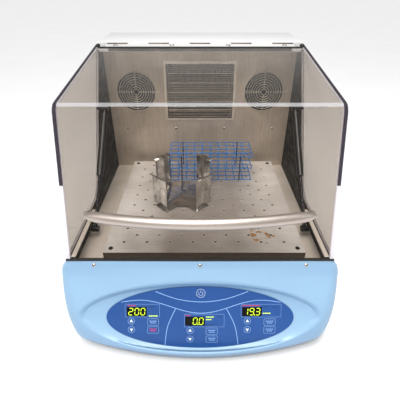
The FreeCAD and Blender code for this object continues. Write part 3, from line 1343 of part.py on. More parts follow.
for item in doc.Objects:
    if "Invalid" in item.State or "Error" in item.State:
        raise RuntimeError(f"{item.Label} failed: {item.State}")
for cut in cuts:
    if cut.BaseFeature and cut.Shape.Volume >= cut.BaseFeature.Shape.Volume:
        raise RuntimeError(f"{cut.Label} cuts nothing")
os.makedirs("parts", exist_ok=True)
for node in nodes:
    if node.Shape.isNull() or not node.Shape.isValid() or not node.Shape.Solids:
        raise RuntimeError(f"{node.Label} has no valid solid")
    node.Shape.exportStep(f"parts/{node.Label}.step")
print(len(nodes), "nodes written")
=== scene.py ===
import math

import bmesh
import bpy
from mathutils import Matrix, Vector


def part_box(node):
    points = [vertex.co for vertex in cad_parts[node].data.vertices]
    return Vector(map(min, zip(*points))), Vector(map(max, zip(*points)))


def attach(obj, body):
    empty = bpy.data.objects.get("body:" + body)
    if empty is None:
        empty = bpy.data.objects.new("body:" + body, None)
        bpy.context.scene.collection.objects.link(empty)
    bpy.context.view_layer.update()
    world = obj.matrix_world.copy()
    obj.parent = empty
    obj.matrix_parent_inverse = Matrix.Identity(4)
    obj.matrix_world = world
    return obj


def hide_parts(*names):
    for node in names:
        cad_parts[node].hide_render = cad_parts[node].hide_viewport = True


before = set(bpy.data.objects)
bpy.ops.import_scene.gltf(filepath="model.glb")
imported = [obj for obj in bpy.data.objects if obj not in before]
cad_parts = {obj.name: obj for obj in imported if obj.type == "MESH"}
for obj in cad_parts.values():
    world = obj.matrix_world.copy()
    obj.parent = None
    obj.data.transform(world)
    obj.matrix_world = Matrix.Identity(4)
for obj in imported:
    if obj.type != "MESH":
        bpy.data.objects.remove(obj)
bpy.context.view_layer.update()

MM = 0.001


# The camera stands in front of the bench and looks down into the chamber, as a person does.
# Its place and its lens were solved from the corners of the platform in the photograph.

camera_data = bpy.data.cameras.new("camera")
camera_data.lens = 31.07
camera = bpy.data.objects.new("camera", camera_data)
bpy.context.scene.collection.objects.link(camera)
camera.location = (0, -0.8521, 0.7416)
camera.rotation_euler = (math.radians(57.094), 0, 0)
bpy.context.scene.camera = camera


# The bench top is plain pale laminate, too wide for an edge to show. A soft sun lights it,
# with a wide lamp above, one on each side and a low one in front that lifts the bezel.

def linear(hex_color):
    """An sRGB hex colour as linear light."""
    parts = [int(hex_color[place:place + 2], 16) / 255 for place in (1, 3, 5)]
    return (*(part / 12.92 if part <= 0.04045 else ((part + 0.055) / 1.055) ** 2.4
              for part in parts), 1.0)


def add(tree, kind, inputs=(), **settings):
    """Add a shader node with its settings, and with values or links for its sockets."""
    made = tree.nodes.new(kind)
    for name, value in settings.items():
        setattr(made, name, value)
    for name, value in dict(inputs).items():
        if isinstance(value, bpy.types.NodeSocket):
            tree.links.new(value, made.inputs[name])
        else:
            made.inputs[name].default_value = value
    return made


def new_material(name, color, **values):
    """A material whose principled shader has a colour and the values given."""
    material = bpy.data.materials.new(name)
    material.use_nodes = True
    shader = material.node_tree.nodes["Principled BSDF"]
    shader.inputs["Base Color"].default_value = linear(color)
    for name, value in values.items():
        shader.inputs[name.replace("_", " ").title().replace("Ior", "IOR")].default_value = value
    return material


def parts_of(material):
    """A material's nodes, its shader, and the place of each point on its piece."""
    tree = material.node_tree
    place = add(tree, "ShaderNodeTexCoord").outputs["Object"]
    return tree, tree.nodes["Principled BSDF"], place


def vary(material, patch, detail=2.0, tones=None, gloss=None, relief=None):
    """Let a noise vary a finish: between two colours, between two roughnesses, or in height.

    The noise's patches are so many millimetres across, and a relief is its strength and its
    depth in millimetres."""
    tree, shader, place = parts_of(material)
    noise = add(tree, "ShaderNodeTexNoise", {"Vector": place, "Scale": 1 / (patch * MM),
                                             "Detail": detail})
    if tones:
        color = add(tree, "ShaderNodeMix", {0: noise.outputs["Fac"], 6: linear(tones[0]),
                                            7: linear(tones[1])}, data_type="RGBA")
        tree.links.new(color.outputs[2], shader.inputs["Base Color"])
    if gloss:
        shine = add(tree, "ShaderNodeMapRange", {"Value": noise.outputs["Fac"],
                                                 "To Min": gloss[0], "To Max": gloss[1]})
        tree.links.new(shine.outputs["Result"], shader.inputs["Roughness"])
    if relief:
        bump = add(tree, "ShaderNodeBump", {"Height": noise.outputs["Fac"],
                                            "Strength": relief[0], "Distance": relief[1] * MM})
        tree.links.new(bump.outputs["Normal"], shader.inputs["Normal"])


def join_up(bm, name):
    """Turn a bmesh into a linked object."""
    mesh = bpy.data.meshes.new(name)
    bm.to_mesh(mesh)
    bm.free()
    piece = bpy.data.objects.new(name, mesh)
    bpy.context.scene.collection.objects.link(piece)
    return piece


FLOOR_HALF = 20.0
bench = bmesh.new()
bmesh.ops.create_grid(bench, x_segments=2, y_segments=2, size=FLOOR_HALF)
bench = join_up(bench, "bench_top")
laminate = new_material("bench_laminate", "#FAFAFA", roughness=0.7)
vary(laminate, 333.3, tones=("#F7F7F7", "#FDFDFD"))
bench.data.materials.append(laminate)

world = bpy.data.worlds.new("studio")
bpy.context.scene.world = world
world.use_nodes = True
world.node_tree.nodes["Background"].inputs["Color"].default_value = linear("#FFFFFF")
world.node_tree.nodes["Background"].inputs["Strength"].default_value = 0.22

sky = bpy.data.lights.new("ceiling_glow", "SUN")
sky.energy = 2.7
sky.angle = math.radians(36)
sky_lamp = bpy.data.objects.new("ceiling_glow", sky)
sky_lamp.rotation_euler = (math.radians(27), math.radians(-9), 0)
bpy.context.scene.collection.objects.link(sky_lamp)

for name, spot, aim, wide, deep, power in (
        ("light_above", (0.1, -0.25, 2.0), (0, 0, 0.2), 1.4, 1.0, 20),
        ("light_left", (-1.9, -0.9, 1.5), (0, 0, 0.25), 1.0, 1.4, 5),
        ("light_right", (1.9, -0.7, 1.4), (0, 0, 0.25), 1.0, 1.4, 4),
        ("light_front", (0, -2.4, 1.1), (0, -0.3, 0.2), 1.8, 0.7, 3)):
    panel = bpy.data.lights.new(name, "AREA")
    panel.shape = "RECTANGLE"
    panel.size = wide
    panel.size_y = deep
    panel.energy = power
    lamp = bpy.data.objects.new(name, panel)
    lamp.location = spot
    lamp.rotation_euler = (Vector(spot) - Vector(aim)).to_track_quat("Z", "Y").to_euler()
    bpy.context.scene.collection.objects.link(lamp)

# Colours are shown as they are.
bpy.context.scene.view_settings.view_transform = "Standard"


# The cabinet is folded steel sheet, powder coated light grey: a fine orange peel, a satin
# sheen, and edges that the coating leaves a little round.

def finish_piece(piece, body, slot, *materials, replaces=(), smooth=None):
    """Give a piece its materials and its body, and hide what it stands for. Its slot is not used.
    """
    for material in materials:
        piece.data.materials.append(material)
    if smooth is not None:
        bm = bmesh.new()
        bm.from_mesh(piece.data)
        for face in bm.faces:
            face.smooth = True
        for edge in bm.edges:
            edge.smooth = (len(edge.link_faces) == 2
                           and edge.calc_face_angle() < math.radians(smooth))
        bm.to_mesh(piece.data)
        bm.free()
    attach(piece, body)
    if replaces:
        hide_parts(*replaces)
    return piece


def paint_node(material, *names):
    """Put a material on CAD nodes."""
    for name in names:
        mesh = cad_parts[name].data
        mesh.materials.clear()
        mesh.materials.append(material)


def rounded_copy(node, edge, sharp=30, segments=2):
    """A bmesh copy of a CAD node, with its triangles merged and its sharp edges rounded."""
    bm = bmesh.new()
    bm.from_mesh(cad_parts[node].data)
    bmesh.ops.remove_doubles(bm, verts=bm.verts, dist=0.02 * MM)
    bmesh.ops.dissolve_limit(bm, angle_limit=math.radians(1), verts=bm.verts, edges=bm.edges)
    edges = [e for e in bm.edges if len(e.link_faces) == 2
             and e.calc_face_angle() > math.radians(sharp)]
    bmesh.ops.bevel(bm, geom=edges, offset=edge * MM, offset_type="OFFSET", affect="EDGES",
                    segments=segments, profile=0.5, material=-1, clamp_overlap=True)
    return bm


def stand_in(node, edge, name, body, slot, material, smooth=35):
    """A piece that takes a CAD node's place, in its shape but with its edges rounded."""
    return finish_piece(join_up(rounded_copy(node, edge), name), body, slot, material,
                        replaces=(node,), smooth=smooth)


def powder_coat(name, color, grain=0.8, roughness=0.45):
    """Powder coat on steel: an orange peel under a millimetre across, and a soft sheen."""
    material = new_material(name, color, roughness=roughness, ior=1.5)
    vary(material, grain, relief=(0.08, 0.1))
    vary(material, 83.33, 3.0, gloss=(roughness - 0.05, roughness + 0.08))
    return material


case_paint = powder_coat("powder_coat_light_grey", "#CDCDCD")
stand_in("cabinet_shell", 1.0, "cabinet_skin", "cabinet", "case_paint", case_paint)


# The rear panel is the same sheet in a cooler grey. Its louvres are pressed outwards from the
# sheet, each a hood that is closed above and open below, so no light falls straight in.

def block(bm, size, spot):
    """Add a cuboid, given its size and its middle, and return its vertices."""
    verts = bmesh.ops.create_cube(bm, size=1.0)["verts"]
    bmesh.ops.scale(bm, vec=size, verts=verts)
    bmesh.ops.translate(bm, vec=spot, verts=verts)
    return verts


LOUVRES, LOUVRE_HALF, SLOT_TALL, LOUVRE_PITCH, LOUVRE_X = 9, 75, 5, 12, 150
# Heights of the lowest slots in each group. Only the half at positive x has the lower group.
LOWER_GROUP, UPPER_GROUP = 60, 440
LOUVRE_REACH, LOUVRE_TALL = 2.6, 7.5
# How far a louvre laps the slot's ends, sinks into the sheet and stands off it at its top.
LOUVRE_LAP, LOUVRE_SUNK, LOUVRE_TOP = 2, 0.2, 0.3
rear = rounded_copy("rear_panel", 0.3)
face_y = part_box("rear_panel")[1][1]
for x, first_z in ((-LOUVRE_X, UPPER_GROUP), (LOUVRE_X, LOWER_GROUP), (LOUVRE_X, UPPER_GROUP)):
    for row in range(LOUVRES):
        slot_z = (first_z + SLOT_TALL / 2 + row * LOUVRE_PITCH) * MM
        louvre = block(rear, (2 * (LOUVRE_HALF + LOUVRE_LAP) * MM, LOUVRE_REACH * MM,
                              LOUVRE_TALL * MM),
                       (x * MM, face_y + (LOUVRE_REACH / 2 - LOUVRE_SUNK) * MM, slot_z))
        for vert in louvre:
            if vert.co.y > face_y + LOUVRE_REACH / 2 * MM and vert.co.z > slot_z:
                vert.co.y = face_y + LOUVRE_TOP * MM
rear_paint = powder_coat("powder_coat_rear", "#C3C4C5", roughness=0.5)
finish_piece(join_up(rear, "rear_louvre_panel"), "cabinet", "rear_paint", rear_paint,
             replaces=("rear_panel",))


# Four tapered feet of moulded black rubber stand under the base pan, one near each corner.
# They look dull and a little porous.

foot_rubber = new_material("moulded_rubber", "#1E1F21", roughness=0.85)
vary(foot_rubber, 1.111, 3.0, relief=(0.2, 0.1))
paint_node(foot_rubber, "feet")


# Sheet stainless steel lines the chamber. Rolling and brushing leave fine streaks along one
# way, and years of use leave smears: a metal whose gloss changes more than its colour does.

def brushed_steel(name, light, dark, streak_axis=0, roughness=0.32, streak=1.2, smear=50,
                  metallic=1.0):
    """Stainless sheet with streaks along one axis, and smears so many millimetres across."""
    material = new_material(name, light, metallic=metallic, roughness=roughness)
    tree, shader, place = parts_of(material)
    # A streak is sixty times as long as it is wide.
    stretch = [1 / (streak * MM)] * 3
    stretch[streak_axis] = 1 / (60 * streak * MM)
    along = add(tree, "ShaderNodeMapping", {"Vector": place, "Scale": stretch})
    streaks = add(tree, "ShaderNodeTexNoise", {"Vector": along.outputs["Vector"], "Scale": 1.0,
                                               "Detail": 4.0, "Roughness": 0.7})
    smears = add(tree, "ShaderNodeTexNoise", {"Vector": place, "Scale": 1 / (smear * MM),
                                              "Detail": 6.0, "Distortion": 0.6})
    blend = add(tree, "ShaderNodeMath", {0: streaks.outputs["Fac"], 1: smears.outputs["Fac"]},
                operation="MULTIPLY")
    tone = add(tree, "ShaderNodeMapRange", {"Value": blend.outputs[0], "From Min": 0.12,
                                            "From Max": 0.4})
    color = add(tree, "ShaderNodeMix", {0: tone.outputs["Result"], 6: linear(dark),
                                        7: linear(light)}, data_type="RGBA")
    tree.links.new(color.outputs[2], shader.inputs["Base Color"])
    gloss = add(tree, "ShaderNodeMapRange", {"Value": blend.outputs[0], "From Min": 0.12,
                                             "From Max": 0.4, "To Min": roughness + 0.14,
                                             "To Max": roughness - 0.06})
    tree.links.new(gloss.outputs["Result"], shader.inputs["Roughness"])
    bump = add(tree, "ShaderNodeBump", {"Height": streaks.outputs["Fac"], "Strength": 0.12,
                                        "Distance": 0.05 * MM})
    tree.links.new(bump.outputs["Normal"], shader.inputs["Normal"])
    return material


floor_steel = brushed_steel("stainless_2b_floor", "#F8F3EC", "#E0D9D0", streak_axis=1,
                            roughness=0.42, metallic=0.35)
wall_steel = brushed_steel("stainless_brushed_wall", "#DED3C6", "#B4A99B", streak_axis=2,
                           roughness=0.42, smear=120, metallic=0.35)
paint_node(floor_steel, "chamber_floor")
paint_node(wall_steel, "back_wall")
# The base pan under them is zinc plated sheet, greyer and duller.
pan_steel = brushed_steel("zinc_plated_sheet", "#9A9DA0", "#7C7F83", roughness=0.45)
paint_node(pan_steel, "base_pan")


# Black moulded liners close the two sides of the chamber. Their gloss has dulled unevenly,
# so patches of them shine where the light from the hood strikes.

liner_black = new_material("abs_black_semi_gloss", "#0D0D0F", roughness=0.4, ior=1.45,
                           specular_ior_level=0.12)
tree, shader, place = parts_of(liner_black)
# Patches of haze on a liner's face are 56 mm deep and 14 mm high, so they lie as streaks.
along = add(tree, "ShaderNodeMapping", {"Vector": place, "Scale": (1, 18, 70)})
haze = add(tree, "ShaderNodeTexNoise", {"Vector": along.outputs["Vector"], "Scale": 1.0,
                                        "Detail": 8.0, "Roughness": 0.65})
dull = add(tree, "ShaderNodeMapRange", {"Value": haze.outputs["Fac"], "From Min": 0.35,
                                        "From Max": 0.65, "To Min": 0.3, "To Max": 0.65})
tree.links.new(dull.outputs["Result"], shader.inputs["Roughness"])
shade = add(tree, "ShaderNodeMapRange", {"Value": haze.outputs["Fac"], "From Min": 0.52,
                                         "From Max": 0.8})
color = add(tree, "ShaderNodeMix", {0: shade.outputs["Result"], 6: linear("#020203"),
                                    7: linear("#1C1B1A")}, data_type="RGBA")
tree.links.new(color.outputs[2], shader.inputs["Base Color"])
bump = add(tree, "ShaderNodeBump", {"Height": haze.outputs["Fac"], "Strength": 0.15,
                                    "Distance": 0.2 * MM})
tree.links.new(bump.outputs["Normal"], shader.inputs["Normal"])
paint_node(liner_black, "side_liners")


# A strip of extruded black rubber runs round the chamber's edge, where the hood comes down.
# Its black has greyed unevenly with dust.

seal_rubber = new_material("extruded_seal_rubber", "#121213", roughness=0.7)
vary(seal_rubber, 6.25, 4.0, tones=("#0E0E0F", "#232322"))
stand_in("lid_seal", 1.0, "seal_profile", "cabinet", "seal_rubber", seal_rubber, smooth=40)


# Two axial fans stir the air behind wire guards. Each guard is bright wire bent to rings
# and welded on four spokes, whose ends are curled into eyes for the screws. Its plating has
# dulled here and there.

FAN_X, FAN_Z = 197.5 * MM, 441 * MM
GUARD_Y = 229 * MM
WIRE = 1.25 * MM
RINGS, RING_SMALL, RING_LARGE = 8, 9, 59
EYE_REACH, EYE_RADIUS, EYE_LAP = 75, 3.4, 4


def turned_wire(bm, center, radius, wire, axis, steps=48, sides=8):
    """Add a wire ring, by spinning a circle once round an axis through center."""
    axis = Vector(axis)
    out = axis.orthogonal().normalized()
    turn = Matrix((out, axis, out.cross(axis))).transposed().to_4x4()
    spot = Matrix.Translation(Vector(center) + out * radius) @ turn
    ring = bmesh.ops.create_circle(bm, segments=sides, radius=wire, matrix=spot)
    rim = list({edge for vert in ring["verts"] for edge in vert.link_edges})
    bmesh.ops.spin(bm, geom=ring["verts"] + rim, cent=center, axis=axis, angle=math.tau,
                   steps=steps, use_merge=True)


def rod(bm, start, end, radius, sides=8):
    """Add a round rod between two points."""
    start, end = Vector(start), Vector(end)
    turn = (end - start).to_track_quat("Z", "Y").to_matrix().to_4x4()
    bmesh.ops.create_cone(bm, segments=sides, radius1=radius, radius2=radius,
                          depth=(end - start).length, cap_ends=True,
                          matrix=Matrix.Translation((start + end) / 2) @ turn)


guards = bmesh.new()
for side in (-1, 1):
    hub = Vector((side * FAN_X, GUARD_Y, FAN_Z))
    for ring in range(RINGS):
        radius = RING_SMALL + ring * (RING_LARGE - RING_SMALL) / (RINGS - 1)
        turned_wire(guards, hub, radius * MM, WIRE, (0, 1, 0))
    for reach in (Vector((1, 0, 0)), Vector((-1, 0, 0)), Vector((0, 0, 1)), Vector((0, 0, -1))):
        eye = hub + reach * EYE_REACH * MM
        rod(guards, hub + reach * RING_SMALL * MM, eye - reach * EYE_LAP * MM, WIRE)
        turned_wire(guards, eye, EYE_RADIUS * MM, WIRE, (0, 1, 0), steps=20)
bmesh.ops.recalc_face_normals(guards, faces=guards.faces)
guard_wire = new_material("bright_plated_wire", "#CFC9BE", metallic=0.4, roughness=0.3)
vary(guard_wire, 16.67, 4.0, tones=("#B9B3A8", "#E2DCD0"))
finish_piece(join_up(guards, "fan_guard_wires"), "cabinet", "guard_wire", guard_wire,
             replaces=("fan_guards",), smooth=60)


# Air leaves the chamber through punched stainless sheet: small square holes in six bands,
# with a plain strip between two bands and a plain margin held by the back wall. Their edges
# catch the light, so the sheet looks pale and speckled.

GRILLE_X, GRILLE_LOW, GRILLE_HIGH = 110, 350.5, 532
GRILLE_Y, GRILLE_GAUGE = 229.2, 0.8
BANDS, BAND_ROWS, HOLE_COLUMNS = 6, 5, 38
# The plain margin in millimetres, the strip between two bands in rows, and the bridge
# between a hole and the edge of its cell as a share of the cell.
HOLE_MARGIN, BAND_STRIP, HOLE_SHARE = 7, 0.3, 0.27
grille = bmesh.new()
band_pitch = (GRILLE_HIGH - GRILLE_LOW - 2 * HOLE_MARGIN) / BANDS
row_pitch = band_pitch / (BAND_ROWS + BAND_STRIP)
heights = [GRILLE_LOW]
for band in range(BANDS):
    low = GRILLE_LOW + HOLE_MARGIN + band * band_pitch
    heights += [low + row * row_pitch for row in range(BAND_ROWS + 1)]
heights.append(GRILLE_HIGH)
spans = [-GRILLE_X] + [-GRILLE_X + HOLE_MARGIN + column * 2 * (GRILLE_X - HOLE_MARGIN)
                       / HOLE_COLUMNS for column in range(HOLE_COLUMNS + 1)] + [GRILLE_X]
bmesh.ops.create_grid(grille, x_segments=len(spans) - 1, y_segments=len(heights) - 1, size=0.5)
for vert in grille.verts:
    column = round((vert.co.x + 0.5) * (len(spans) - 1))
    row = round((vert.co.y + 0.5) * (len(heights) - 1))
    vert.co = Vector((spans[column], GRILLE_Y, heights[row])) * MM
# Only the cells that are nearly square get a hole: strips and margins are long or narrow.
holes = [face for face in grille.faces
         if max(edge.calc_length() for edge in face.edges) < 1.3 * row_pitch * MM
         and min(edge.calc_length() for edge in face.edges) > 0.8 * row_pitch * MM]
bmesh.ops.inset_individual(grille, faces=holes, thickness=HOLE_SHARE * row_pitch * MM)
bmesh.ops.delete(grille, geom=holes, context="FACES")
bmesh.ops.recalc_face_normals(grille, faces=grille.faces)
grille = join_up(grille, "grille_sheet")
thick = grille.modifiers.new("gauge", "SOLIDIFY")
thick.thickness = GRILLE_GAUGE * MM
grille_steel = brushed_steel("stainless_punched_sheet", "#F2EBE0", "#C9C0B4", streak_axis=2,
                             roughness=0.4, metallic=0.5)
finish_piece(grille, "cabinet", "grille_stainless", grille_steel, replaces=("intake_grille",))


# Behind the guards turn two fans of glass filled nylon, matt and slightly grained. The
# heater behind the grille is two finned steel rods, darkened by their own heat.

fan_plastic = new_material("glass_filled_nylon_black", "#232325", roughness=0.55)
vary(fan_plastic, 2, relief=(0.15, 0.1))
paint_node(fan_plastic, "fan_frames", "fan_impeller_left", "fan_impeller_right")
heater_steel = brushed_steel("heater_sheath_steel", "#4A4744", "#2F2C2A", streak_axis=2)
paint_node(heater_steel, "heater")


# The bezel is one ABS moulding in light sky blue, wrapped round the front, with a band above
# a crease for its screws and an oval dish for the panel. Its skin is semi-gloss, with a painted
# highlight paling it where it faces up, and painted shade deepening it in the dish and hollows.

# Level sections of the moulding in millimetres: height, half width, front, bow and corner.
BEZEL_LEVELS = ((224, 291.5, -297, 2, 8), (208, 303, -303, 3, 14), (190, 309, -313.5, 8, 22),
                (110, 310, -360, 14, 50), (45, 304, -396, 50, 60), (15, 299, -388, 56, 62))
CREASE_Z, HEM_Z, RIM_Z, CHEEK_Z = 208, 15, 224, 185
CASE_FRONT, CHEEK_REAR = -291, -250
BEZEL_WALL = 3.5
# How near the moulding's own faces must be for painted shade to darken them.
PAINTED_SHADE_REACH = 90
PANEL = Vector((0, -343.3, 99))
TILT = math.radians(27)
PANEL_HALF = (210, 71)
PANEL_LAP = 3
# The dish: depth in front of the panel, half width, half height and rise of its oval.
DISH = ((0, 210.4, 71.4, 0), (5, 260, 76, 0), (34, 292, 81, 14))
panel_turn = Matrix.Rotation(math.pi / 2 - TILT, 4, "X")


def eased(levels, z):
    """Values of a table at height z, on a smooth line through its rows."""
    heights = [row[0] for row in levels]
    last = len(levels) - 1
    index = next((i for i in range(last) if z >= heights[i + 1]), last - 1)
    share = (z - heights[index]) / (heights[index + 1] - heights[index])

    def slope(row, column):
        """The slope at a row, from its neighbours on one side of the crease, which is row 1."""
        low, high = (0, 1) if index == 0 else (max(row - 1, 1), min(row + 1, last))
        rise = levels[high][column] - levels[low][column]
        return rise / (heights[high] - heights[low])

    result = []
    for column in range(1, len(levels[0])):
        start, end = levels[index][column], levels[index + 1][column]
        span = heights[index + 1] - heights[index]
        first, second = slope(index, column) * span, slope(index + 1, column) * span
        square, cube = share ** 2, share ** 3
        result.append(start * (2 * cube - 3 * square + 1) + first * (cube - 2 * square + share)
                      + end * (3 * square - 2 * cube) + second * (cube - square))
    return result


def bezel_curve(z):
    """The section at z: half width, front, corner, bow's radius, start of its side, angle."""
    half, front, bow, corner = eased(BEZEL_LEVELS, z)
    arc = (half ** 2 + bow ** 2) / (2 * bow)
    side_y = front + arc - math.sqrt((arc - corner) ** 2 - (half - corner) ** 2)
    angle = math.asin((half - corner) / (arc - corner))
    return half, front, corner, arc, side_y, angle


def bezel_reach(z, end_y):
    """The length along the section from its middle to where its side meets end_y."""
    _, _, corner, arc, side_y, angle = bezel_curve(z)
    return arc * angle + corner * (math.pi / 2 - angle) + end_y - side_y


def bezel_point(s, z):
    """The point at length s along the section at height z."""
    half, front, corner, arc, side_y, angle = bezel_curve(z)
    run, sign = abs(s), math.copysign(1, s)
    if run <= arc * angle:
        turn = run / arc
        return Vector((sign * arc * math.sin(turn), front + arc * (1 - math.cos(turn)), z))
    run -= arc * angle
    if run <= corner * (math.pi / 2 - angle):
        turn = angle + run / corner
        return Vector((sign * (half - corner + corner * math.sin(turn)),
                       side_y - corner * math.cos(turn), z))
    run -= corner * (math.pi / 2 - angle)
    return Vector((sign * half, side_y + run, z))


def bezel_length(x, z):
    """The length along the section at height z of the point at x."""
    half, _, corner, arc, _, angle = bezel_curve(z)
    run = abs(x)
    if run <= arc * math.sin(angle):
        return math.copysign(arc * math.asin(run / arc), x)
    turn = math.asin(min(1, (run - half + corner) / corner))
    return math.copysign(arc * angle + corner * (turn - angle), x)


def dish_point(depth, angle):
    """A point of the dish's wall at a depth in front of the panel."""
    low, high = (DISH[0], DISH[1]) if depth < DISH[1][0] else (DISH[1], DISH[2])
    share = (depth - low[0]) / (high[0] - low[0])
    wide, tall, rise = (low[i] + share * (high[i] - low[i]) for i in (1, 2, 3))
    local = Vector((wide * math.cos(angle), rise + tall * math.sin(angle), depth))
    return PANEL + panel_turn @ local


def dish_mouth(angle):
    """How far in front of the panel the dish meets the skin, at an angle round its oval."""
    low, high = -1.0, DISH[2][0]
    for _ in range(40):
        middle = (low + high) / 2
        spot = dish_point(middle, angle)
        skin = bezel_point(bezel_length(spot.x, spot.z), spot.z)
        low, high = (middle, high) if spot.y > skin.y else (low, middle)
    return low


# Rows of the mesh on the dish's wall, round its lip and over the skin, and the lip's reach.
WALL_RINGS, LIP_RINGS, SKIN_RINGS = 6, 5, 20
LIP = 7.0
SIDE_STEPS, TOP_STEPS = 56, 112


def frame_spot(step):
    """Step round a square from -1 to 1, anticlockwise from its lower right corner."""
    corners = ((1, -1), (1, 1), (-1, 1), (-1, -1), (1, -1))
    for side, count in enumerate((SIDE_STEPS, TOP_STEPS, SIDE_STEPS, TOP_STEPS)):
        if step < count:
            share = step / count
            return [start + (end - start) * share
                    for start, end in zip(corners[side], corners[side + 1])]
        step -= count


def bezel_line(step):
    """Points from under the panel's edge, up the dish's wall, over its lip and out."""
    p, q = frame_spot(step)
    angle = math.atan2(q, p)
    mouth = dish_mouth(angle)
    spots = [PANEL + panel_turn @ Vector(((PANEL_HALF[0] - PANEL_LAP) * math.cos(angle),
                                          (PANEL_HALF[1] - PANEL_LAP) * math.sin(angle), 0))]
    # Where the dish is shallow, its lip takes less than half of the wall.
    lip = min(LIP, mouth * 0.45 + 0.6)
    low = max(mouth - lip, 0.02)
    wall = [dish_point(low * ring / WALL_RINGS, angle) for ring in range(WALL_RINGS + 1)]
    edge = dish_point(mouth, angle)
    s0, z0 = bezel_length(edge.x, edge.z), edge.z
    z1 = HEM_Z + (CREASE_Z - HEM_Z) * (q + 1) / 2
    s1 = p * bezel_reach(z1, CASE_FRONT)
    span = math.hypot(s1 - s0, z1 - z0)
    first = lip / span

    def skin(share):
        return bezel_point(s0 + (s1 - s0) * share, z0 + (z1 - z0) * share)

    spots += wall
    start, end = wall[-1], skin(first)
    for ring in range(1, LIP_RINGS):
        share = ring / LIP_RINGS
        spots.append(start * (1 - share) ** 2 + edge * 2 * share * (1 - share) + end * share ** 2)
    # Over the skin, the rows lie closer together near the lip.
    for ring in range(SKIN_RINGS + 1):
        spots.append(skin(first + (1 - first) * (ring / SKIN_RINGS) ** 1.3))
    return spots


lines = [bezel_line(step) for step in range(2 * (SIDE_STEPS + TOP_STEPS))]
bezel = bmesh.new()
rows, columns = len(lines[0]), len(lines) + 1
grid = bmesh.ops.create_grid(bezel, x_segments=columns - 1, y_segments=rows - 1, size=0.5)
for vert in grid["verts"]:
    column = round((vert.co.x + 0.5) * (columns - 1)) % len(lines)
    row = round((vert.co.y + 0.5) * (rows - 1))
    vert.co = lines[column][row] * MM
band = bmesh.ops.create_grid(bezel, x_segments=TOP_STEPS, y_segments=2, size=0.5)
for vert in band["verts"]:
    z = CREASE_Z + (RIM_Z - CREASE_Z) * (vert.co.y + 0.5)
    vert.co = bezel_point(2 * vert.co.x * bezel_reach(z, CASE_FRONT), z) * MM
# The cheeks run straight back along the cabinet's sides.
for sign in (-1, 1):
    cheek = bmesh.ops.create_grid(bezel, x_segments=4, y_segments=24, size=0.5)
    for vert in cheek["verts"]:
        z = HEM_Z + (CHEEK_Z - HEM_Z) * (vert.co.y + 0.5)
        y = CASE_FRONT + (CHEEK_REAR - CASE_FRONT) * (vert.co.x + 0.5)
        vert.co = Vector((sign * eased(BEZEL_LEVELS, z)[0], y, z)) * MM
bmesh.ops.remove_doubles(bezel, verts=bezel.verts, dist=0.05 * MM)
bmesh.ops.recalc_face_normals(bezel, faces=bezel.faces)
bezel = join_up(bezel, "bezel_moulding")
thick = bezel.modifiers.new("wall", "SOLIDIFY")
thick.thickness = BEZEL_WALL * MM
thick.offset = -1

bezel_abs = new_material("abs_moulded_sky_blue", "#84A8C8", roughness=0.38, ior=1.53)
tree, shader, place = parts_of(bezel_abs)
cloud = add(tree, "ShaderNodeTexNoise", {"Vector": place, "Scale": 1 / (111.1 * MM)})
color = add(tree, "ShaderNodeMix", {0: cloud.outputs["Fac"], 6: linear("#779DC0"),
                                    7: linear("#80A6C8")}, data_type="RGBA")
# Faces that look up are mixed towards a paler blue: a painted highlight.
facing = add(tree, "ShaderNodeSeparateXYZ",
             {"Vector": add(tree, "ShaderNodeNewGeometry").outputs["Normal"]})
painted_highlight = add(tree, "ShaderNodeMapRange", {"Value": facing.outputs["Z"], "To Max": 0.75})
color = add(tree, "ShaderNodeMix", {0: painted_highlight.outputs["Result"], 6: color.outputs[2],
                                    7: linear("#ABCADF")}, data_type="RGBA")
# Where other faces of the moulding are near, the colour is darkened: painted shade.
painted_shade_occlusion = add(tree, "ShaderNodeAmbientOcclusion", {"Color": color.outputs[2],
                                                   "Distance": PAINTED_SHADE_REACH * MM})
depth = add(tree, "ShaderNodeMapRange", {"Value": painted_shade_occlusion.outputs["AO"], "From Min": 0.3,
                                         "From Max": 0.76})
painted_shade_mix = add(tree, "ShaderNodeMix", {0: depth.outputs["Result"], 6: linear("#3D6080"),
                                     7: color.outputs[2]}, data_type="RGBA")
tree.links.new(painted_shade_mix.outputs[2], shader.inputs["Base Color"])
vary(bezel_abs, 0.7143, relief=(0.05, 0.05))
finish_piece(bezel, "cabinet", "bezel_plastic", bezel_abs, replaces=("front_bezel",), smooth=28)


# Pan head screws of stainless steel hold the bezel, the back wall and the lid's strip. Each
# has a domed head, with a cross on it painted dark as the shade in its recess.

screw_steel = new_material("stainless_screw", "#C9C7C2", metallic=1.0, roughness=0.22)
vary(screw_steel, 1.429, 3.0, gloss=(0.14, 0.4))
# The cross's near-black is painted shade.
painted_recess_shade = new_material("recess_painted_shade", "#1B1A18", roughness=0.8)


def screw_head(bm, spot, normal, radius, height, spin=0.6):
    """A domed head with a cross sunk into it, at a seat point along a normal."""
    turn = Vector(normal).to_track_quat("Z", "Y").to_matrix().to_4x4()
    seat = Matrix.Translation(spot) @ turn @ Matrix.Rotation(spin, 4, "Z")
    dome = bmesh.ops.create_uvsphere(bm, u_segments=24, v_segments=12, radius=1.0)
    verts = dome["verts"]
    bmesh.ops.scale(bm, vec=(radius, radius, height), verts=verts)
    low = [vert for vert in verts if vert.co.z < -0.1 * height]
    bmesh.ops.delete(bm, geom=low, context="VERTS")
    verts = [vert for vert in verts if vert.is_valid]
    bmesh.ops.transform(bm, matrix=seat, verts=verts)
    for quarter in (0, 1):
        slot = block(bm, (radius * 1.05, radius * 0.26, height * 0.3), (0, 0, height * 0.84))
        bmesh.ops.rotate(bm, cent=(0, 0, 0), matrix=Matrix.Rotation(quarter * math.pi / 2, 3, "Z"),
                         verts=slot)
        bmesh.ops.transform(bm, matrix=seat, verts=slot)
        # The cross takes the second material, painted shade.
        for face in {face for vert in slot for face in vert.link_faces}:
            face.material_index = 1


